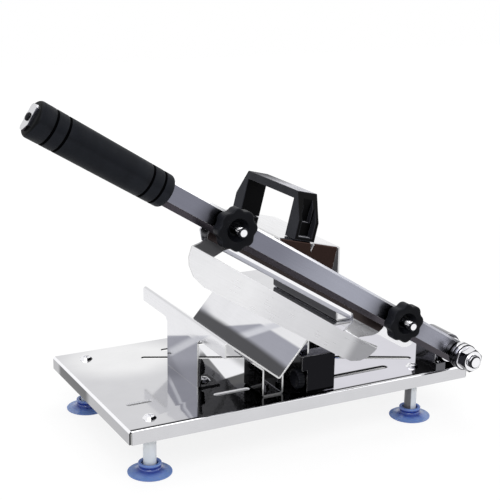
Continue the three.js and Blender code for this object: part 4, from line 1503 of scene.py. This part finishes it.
@dataclass
class Trough(Assembly):
    """Valley, its saddle, brackets, front support and their screws."""

    front_head: float = 6.0

    def build(self) -> None:
        """Makes the folded sheets and their fixings."""
        bright = Dress(FOLDED, STEEL_EDGE_HIGHLIGHT, CUT_END)
        # the saddle, front support and leg brackets are painted dark, as dark reflections
        dark = Dress(FOLDED_DARK_REFLECTION, STEEL_EDGE_HIGHLIGHT, CUT_END, "dark_mirror_steel")
        dim = Dress(BRACKET, slot="dark_mirror_steel")
        screw = Dress(BRIGHT, slot="bright_steel")
        for node, dress, edge in (
            ("trough", bright, 0.2),
            ("leg_bracket_left", dim, 0.2),
            ("leg_bracket_right", dim, 0.2),
            ("saddle", dark, 0.2),
            ("front_support", dark, 0.45),
            ("bracket_screw_left", screw, 0.15),
            ("bracket_screw_right", screw, 0.15),
            ("support_screw", screw, 0.15),
            ("saddle_bolt", screw, 0.15),
            ("thumb_nut", screw, 0.15),
        ):
            self.bench.copied(node, dress, "base", edge)
        for side, outward in (("left", 1), ("right", -1)):
            body = side + "_thumb_screw"
            ThumbScrew(self.bench, "thumb_screw_" + side, body, outward).build()
        front = ("thumb_screw_front", "front_thumb_screw", -1, self.front_head)
        ThumbScrew(self.bench, *front).build()


@dataclass
class Rod:
    """A bolt's shank with a rolled thread near its open end."""

    radius: float
    pitch: float
    depth: float
    threaded: float
    chamfer: float = 1.0
    ease: float = 0.1
    steps: int = 48
    rows: int = 6

    def add(self, form: Form, axis: Axis, length: float) -> None:
        """Adds the shank.

        Args:
            form: the form to add it to.
            axis: its axis, which starts at the open end.
            length: how long the shank is.
        """
        turns = [math.tau * i / self.steps for i in range(self.steps)]
        count = int(self.threaded / self.pitch * self.rows)
        rise = (self.threaded - self.chamfer) / count
        heights = [0.0, self.ease, *[self.chamfer + rise * i for i in range(count + 1)], length]
        rings = [[form.add_point(axis.at(0, 0, 0))] * self.steps]
        for height in heights:
            ring = [axis.at(self._radius(turn, height), turn, height) for turn in turns]
            rings.append([form.add_point(point) for point in ring])
        rings.append([form.add_point(axis.at(0, 0, length))] * self.steps)
        form.join(rings, [0] * len(rings))

    def _radius(self, turn: float, height: float) -> float:
        """The shank's radius at a point: eased at the tip, then threaded, then plain.

        Args:
            turn: the point's angle.
            height: how far it lies from the open end.

        Returns:
            The radius.
        """
        if height <= self.ease:
            return self.radius - self.chamfer - 2 * (self.ease - height)
        groove = 1 - abs(2 * ((height / self.pitch - turn / math.tau) % 1.0) - 1)
        begun = min(max((height - self.chamfer) / self.pitch, 0), 1)
        left = min(max((self.threaded - height) / self.pitch, 0), 1)
        return self.radius - self.depth * groove * begun * left


@dataclass
class Pivot(Assembly):
    """Strap, sleeve, washers, nut and bolt that the bar swings on, and the stop beside them."""

    flats: float = 19.0
    nut_chamfer: float = 1.6
    chamfer_share: float = 0.7
    crown: float = 0.3
    face_inset: float = 0.9
    corner_shares: tuple[float, ...] = (0.0, 0.3, 0.65, 1.0)
    bore: float = 6.1
    washer_radius: float = 12.0
    edge_share: float = 0.17
    rod_seat: float = 1.0
    steps: int = 72
    rod: Rod = field(default_factory=lambda: Rod(6.0, 1.75, 0.75, 32.0, chamfer=1.1))

    def build(self) -> None:
        """Makes the pieces of the pivot."""
        for node, dress, edge in (
            ("pivot_bracket", Dress(STRAP, STEEL_EDGE_HIGHLIGHT, slot="dark_mirror_steel"), 0.25),
            ("axle_sleeve", Dress(STRAP, slot="satin_steel"), 0.3),
            ("arm_stop", Dress(STOP_BLOCK, slot="dark_mirror_steel"), 0.4),
            ("stop_screw", Dress(BRIGHT, slot="bright_steel"), 0.1),
        ):
            self.bench.copied(node, dress, "base", edge)
        for place in ("head", "back", "inner", "outer", "nut"):
            self._washer("axle_washer_" + place)
        self._nut()
        self._bolt()

    def _washer(self, node: str) -> None:
        """Stamped washer with rounded rims.

        Args:
            node: the washer's CAD node.
        """
        axis, thick = spindle(node, BACK)
        edge, outer, bore = thick * self.edge_share, self.washer_radius, self.bore
        stops = [
            Stop(bore + edge, 0),
            *bend((outer - edge, edge), edge, -90, 0, 4, slot=1)[:-1],
            Stop(outer, edge),
            *bend((outer - edge, thick - edge), edge, 0, 90, 4, slot=1)[:-1],
            Stop(outer - edge, thick),
            Stop(bore + edge, thick),
            Stop(bore, thick - edge),
            Stop(bore, edge),
            Stop(bore + edge, 0),
        ]
        form = Form().turn(axis, stops, self.steps)
        dress = Dress(CHROME, WASHER_RIM_SHADE, slot="bright_steel")
        self.bench.turned(form, "stamped_" + node, dress, "base", node)

    def _hexagon(self, form: Form, axis: Axis, thick: float, bore: float) -> None:
        """Adds a hexagon with its corners turned down at both ends.

        Args:
            form: the form to add it to.
            axis: its axis, which starts at its near face.
            thick: its thickness.
            bore: the radius of its hole, or 0.
        """
        reach = self.flats / 2
        start, corner = reach - self.crown, reach / math.cos(math.pi / 6)
        fall = self.nut_chamfer * self.chamfer_share
        near = [
            Stop(reach, fall * s, Outline.HEXAGON, least=start + (corner - start) * s)
            for s in self.corner_shares
        ]
        far = [replace(stop, height=thick - stop.height) for stop in reversed(near)]
        face = reach - self.face_inset
        stops = [Stop(bore, 0), Stop(face, 0), *near, *far, Stop(face, thick), Stop(bore, thick)]
        form.turn(axis, stops + [Stop(bore, 0)] if bore else stops, self.steps)

    def _nut(self) -> None:
        """Hexagon nut on the bolt's open end."""
        axis, thick = spindle("axle_nut", BACK)
        form = Form()
        self._hexagon(form, axis, thick, self.bore)
        dress = Dress(CHROME, slot="bright_steel")
        self.bench.turned(form, "hexagon_nut", dress, "base", "axle_nut", sharp=14)

    def _bolt(self) -> None:
        """Axle bolt: threaded at the front, with its hexagon head at the back."""
        axis, length = spindle("axle_bolt", BACK)
        way = Vector(BACK)
        head = span("axle_bolt", way)[1] - span("axle_washer_head", way)[1]
        form = Form()
        self.rod.add(form, axis, length - head + self.rod_seat)
        self._hexagon(form, axis.moved(length - head), head, 0)
        dress = Dress(CHROME, slot="bright_steel")
        self.bench.turned(form, "threaded_axle_bolt", dress, "base", "axle_bolt", sharp=24)


@dataclass
class StarKnob(Assembly):
    """Lobed black knob on a blade bolt, with the bolt's threaded end showing in its dish."""

    place: str
    radius: float = 17.7
    lobes: int = 8
    lobe_depth: float = 1.9
    lobe_power: float = 1.3
    depth: float = 11.4
    edge: float = 1.9
    hub_radius: float = 8.5
    hub_edge: float = 0.3
    dish_radius: float = 9.5
    dish_floor: float = 6.0
    dish_depth: float = 7.0
    floor_ease: Pairs = ((-0.6, 0.0), (-0.1, 0.3), (0.15, 0.8))
    lip_ease: Pairs = ((-0.05, 0.6), (0.15, 0.15), (0.5, 0.0))
    bore: float = 4.15
    steps: int = 160
    rod: Rod = field(default_factory=lambda: Rod(4.0, 1.25, 0.28, 20.0, chamfer=0.9))
    head_height: float = 3.7
    head_seat: float = 0.1
    head_steps: int = 48
    head_outline: Pairs = (
        (0, 0), (4.0, 0), (7.9, 3.3), (7.9, 3.6), (7.7, 3.7), (2.6, 3.7), (2.3, 2.6), (0, 2.6),
    )

    def build(self) -> None:
        """Makes the knob and the bolt."""
        self._knob()
        self._bolt()

    def _knob(self) -> None:
        """Knob with rounded lobes, a tapered well in front and a hub behind."""
        node = "star_knob_" + self.place
        axis, total = spindle(node, BACK)
        edge, rim, lobed = self.edge, self.radius - self.edge, Outline.WAVY
        floor, hub = self.dish_depth, self.hub_radius
        stops = [
            Stop(self.bore, floor),
            *[Stop(self.dish_floor + out, floor - up) for out, up in self.floor_ease],
            *[Stop(self.dish_radius + out, down) for out, down in self.lip_ease],
            *bend((rim, edge), edge, -90, 0, 6, outline=lobed),
            *bend((rim, self.depth - edge), edge, 0, 90, 6, outline=lobed),
            Stop(hub, self.depth),
            Stop(hub, total - self.hub_edge),
            Stop(hub - self.hub_edge, total),
            Stop(self.bore, total),
            Stop(self.bore, floor),
        ]
        form = Form().turn(axis, stops, self.steps, self._wave)
        dress = Dress(BLACK, slot="black_plastic")
        body = self.place + "_star_knob"
        self.bench.turned(form, "lobed_knob_" + self.place, dress, body, node, sharp=60)

    def _wave(self, angle: float) -> float:
        """How far the outline draws in between the lobes."""
        return self.lobe_depth * ((1 - math.cos(self.lobes * angle)) / 2) ** self.lobe_power

    def _bolt(self) -> None:
        """Countersunk bolt through the blade, its thread showing at the front."""
        node = "blade_bolt_" + self.place
        axis, length = spindle(node, BACK)
        head = length - self.head_height
        form = Form()
        self.rod.add(form, axis, head + self.head_seat)
        form.turn(axis.moved(head), [Stop(*pair) for pair in self.head_outline], self.head_steps)
        dress = Dress(CHROME, slot="bright_steel")
        self.bench.turned(form, "threaded_" + node, dress, "lever", node, sharp=24)


@dataclass
class Grip(Assembly):
    """Black grip over the end of the bar."""

    outer_radius: float = 14.7
    inner_radius: float = 13.7
    round_end: float = 3.2
    mouth_radius: float = 8.0
    end_play: float = 0.02
    groove_width: float = 2.2
    groove_depth: float = 1.3
    groove_shares: Pairs = ((0.0, 0.0), (0.08, 0.15), (0.16, 0.5), (0.26, 0.9), (0.36, 1.0))
    dark_share: float = 0.1
    inner_groove: float = 9.0
    outer_groove: float = 13.0
    groove_pitch: float = 11.0
    rows: int = 8
    steps: int = 128

    def build(self) -> None:
        """Makes the grip with round ends, a slight taper and two pairs of grooves."""
        axis, length = spindle("grip", LINE_OF_BAR)
        inner = length - self.inner_groove - self.groove_width
        starts = (
            self.outer_groove,
            self.outer_groove + self.groove_pitch,
            inner - self.groove_pitch,
            inner,
        )
        end, play, mouth = self.round_end, self.end_play, self.mouth_radius
        stops = [Stop(0, play), Stop(mouth, play)]
        stops += bend((self.outer_radius - end, end), end, -90, 0, 6)
        for start, following in zip(starts, (*starts[1:], length - end)):
            stops += self._groove(start, length)
            stop = start + self.groove_width
            for i in range(1, self.rows):
                height = stop + (following - stop) * i / self.rows
                stops.append(Stop(self._radius(height, length), height))
        stops += bend((self.inner_radius - end, length - end), end, 0, 90, 6)
        stops += [Stop(mouth, length - play), Stop(0, length - play)]
        form = Form().turn(axis, stops, self.steps)
        dress = Dress(GRIP, GRIP_GROOVE_SHADE, slot="black_plastic")
        self.bench.turned(form, "moulded_grip", dress, "lever", "grip", sharp=50)

    def _radius(self, height: float, length: float) -> float:
        """The barrel's radius at a height, within its taper."""
        return self.outer_radius + (self.inner_radius - self.outer_radius) * height / length

    def _groove(self, start: float, length: float) -> list[Stop]:
        """Rings of one groove with rounded shoulders.

        Args:
            start: where it starts.
            length: the grip's length.

        Returns:
            Its rings in order.
        """
        radius = self._radius(start, length)
        fall = self.groove_shares
        # rings deeper than dark_share take the second finish, painted shade in the groove
        return [
            Stop(
                radius - self.groove_depth * depth,
                start + self.groove_width * place,
                slot=int(depth > self.dark_share),
            )
            for place, depth in (*fall, *[(1.0 - place, depth) for place, depth in fall[::-1]])
        ]


@dataclass
class Lever(Assembly):
    """Bar, blade and guard, with the grip, the star knobs and their bolts."""

    def build(self) -> None:
        """Makes what swings with the bar."""
        for node, dress, edge in (
            ("lever_bar", Dress(BAR, STEEL_EDGE_HIGHLIGHT), 0.3),
            ("blade", Dress(BLADE, STEEL_EDGE_HIGHLIGHT, slot="blade_steel"), 0.08),
            ("blade_guard", Dress(GUARD, STEEL_EDGE_HIGHLIGHT, CUT_END, "satin_steel"), 0.22),
            ("bar_plug", Dress(BLACK, slot="black_plastic"), 0.1),
        ):
            self.bench.copied(node, dress, "lever", edge)
        Grip(self.bench).build()
        for place in ("near", "far"):
            StarKnob(self.bench, place).build()


@dataclass
class Press(Assembly):
    """Pusher plate with its bridge handle."""

    def build(self) -> None:
        """Makes what slides along the trough."""
        screw = Dress(BRIGHT, slot="bright_steel")
        for node, dress, edge in (
            ("press_plate", Dress(PUSHER, STEEL_EDGE_HIGHLIGHT, CUT_END), 0.2),
            ("press_handle", Dress(HANDLE, PLASTIC_EDGE_HIGHLIGHT, slot="black_plastic"), 0.6),
            ("handle_screw_front", screw, 0.12),
            ("handle_screw_rear", screw, 0.12),
        ):
            self.bench.copied(node, dress, "press", edge)


# ---------------------------------------------------------------- studio


@dataclass
class Camera:
    """The view that the reference was taken from."""

    azimuth: float = -28.2368
    elevation: float = 15.9414
    roll: float = 0.9074
    place: Triple = (-500.958, -910.380, 453.598)
    lens: float = 85.259
    sensor: float = 36.0
    far: float = 20.0

    def build(self) -> None:
        """Makes the camera and sets it as the scene's."""
        turn, lift, roll = (math.radians(a) for a in (self.azimuth, self.elevation, self.roll))
        level = Vector((math.sin(turn), -math.cos(turn), 0))
        back = level * math.cos(lift) + Vector(UP) * math.sin(lift)
        right = Vector((math.cos(turn), math.sin(turn), 0))
        up = right.cross(-back)
        across = right * math.cos(roll) + up * math.sin(roll)
        lifted = up * math.cos(roll) - right * math.sin(roll)
        data = bpy.data.cameras.new("view")
        data.lens = self.lens
        data.sensor_width = self.sensor
        data.clip_end = self.far
        camera = bpy.data.objects.new("view", data)
        columns = Matrix((across, lifted, back)).transposed()
        camera.matrix_world = Matrix.Translation(Vector(self.place) * MM) @ columns.to_4x4()
        bpy.context.scene.collection.objects.link(camera)
        bpy.context.scene.camera = camera
        LOG.info("camera at %s", self.place)


@dataclass
class Lamp:
    """A soft box."""

    name: str
    place: Triple
    size: float
    power: float
    aim: Triple = (0.0, 0.0, 0.1)

    def build(self) -> None:
        """Makes the lamp, turned to the slicer."""
        data = bpy.data.lights.new(self.name, "AREA")
        data.shape = "SQUARE"
        data.size = self.size
        data.energy = self.power
        lamp = bpy.data.objects.new(self.name, data)
        lamp.location = self.place
        look = Vector(self.aim) - Vector(self.place)
        lamp.rotation_euler = look.to_track_quat("-Z", "Y").to_euler()
        bpy.context.scene.collection.objects.link(lamp)
        LOG.info("lamp %s of %.1f W", self.name, self.power)


@dataclass
class Studio:
    """Pale floor, white surround and soft boxes."""

    floor_size: float = 5.0
    floor_tone: float = 0.9
    floor_white: float = 0.78
    floor_glow: float = 1.06
    whiter: tuple[float, float] = (0.45, 1.3)
    surround: float = 0.5
    shadow: Strip = Strip((-60.0, 84.0, 0.0), (156.0, 84.0, 0.0), 86.0, 36.0)
    lamps: tuple[Lamp, ...] = (
        Lamp("key_box", (-0.9, -1.2, 1.5), 1.3, 17.0),
        Lamp("fill_box", (1.3, -0.7, 0.9), 1.2, 6.0),
        Lamp("top_box", (0.1, 0.5, 1.8), 1.4, 9.0),
    )

    def build(self) -> None:
        """Makes the surround, the floor and the lamps."""
        self._surround()
        self._floor()
        for lamp in self.lamps:
            lamp.build()

    @staticmethod
    def _seen(graph: Graph) -> Value:
        """Finds the rays that show the background.

        Args:
            graph: the graph to add it to.

        Returns:
            1 where it is seen, mirrored or seen through glass, and 0 where it only lights.
        """
        rays = [
            graph.node("ShaderNodeLightPath", {}, {}, name)
            for name in ("Is Camera Ray", "Is Glossy Ray", "Is Transmission Ray")
        ]
        return (rays[0] + rays[1] + rays[2]).fade(0.0, 1.0)

    def _surround(self) -> None:
        """White where it is seen, and softer as light."""
        world = bpy.data.worlds.new("surround")
        world.use_nodes = True
        bpy.context.scene.world = world
        graph = Graph(world.node_tree)
        seen = self._seen(graph)
        strength = self.surround + seen * (1.0 - self.surround)
        inputs = {"Color": (1.0, 1.0, 1.0), "Strength": strength}
        graph.end("ShaderNodeOutputWorld", graph.node("ShaderNodeBackground", {}, inputs))

    def _floor(self) -> None:
        """Pale floor that keeps the slicer's shadow."""
        half = self.floor_size / 2
        mesh = bpy.data.meshes.new("floor")
        corners = [(-half, -half, 0), (half, -half, 0), (half, half, 0), (-half, half, 0)]
        mesh.from_pydata(corners, [], [(0, 1, 2, 3)])
        made, graph = blank("pale_floor")
        tone = (self.floor_tone,) * 3
        matt = graph.node("ShaderNodeBsdfDiffuse", {}, {"Color": tone})
        glow = {"Color": (1.0, 1.0, 1.0), "Strength": self.floor_glow}
        white = graph.node("ShaderNodeEmission", {}, glow)
        away = graph.place().length().fade(*self.whiter)
        under = self.shadow.mask(graph)
        share = self.floor_white + away * (1.0 - self.floor_white)
        share = self._seen(graph) * share * (1.0 - under)
        mixed = graph.node("ShaderNodeMixShader", {}, {0: share, 1: matt, 2: white})
        graph.end("ShaderNodeOutputMaterial", mixed)
        mesh.materials.append(made)
        floor = bpy.data.objects.new("floor", mesh)
        bpy.context.scene.collection.objects.link(floor)
        LOG.info("floor %.1f m wide", self.floor_size)


def main() -> None:
    """Builds the studio and each sub-assembly in order."""
    logging.basicConfig(level=logging.INFO, format="%(name)s: %(message)s")
    scene = bpy.context.scene
    scene.view_settings.view_transform = "Standard"
    Camera().build()
    Studio().build()
    bench = Bench()
    for assembly in (Deck, Trough, Pivot, Lever, Press):
        assembly(bench).build()
    LOG.info("%d pieces made", bench.made)


if __name__ == "__main__":
    main()
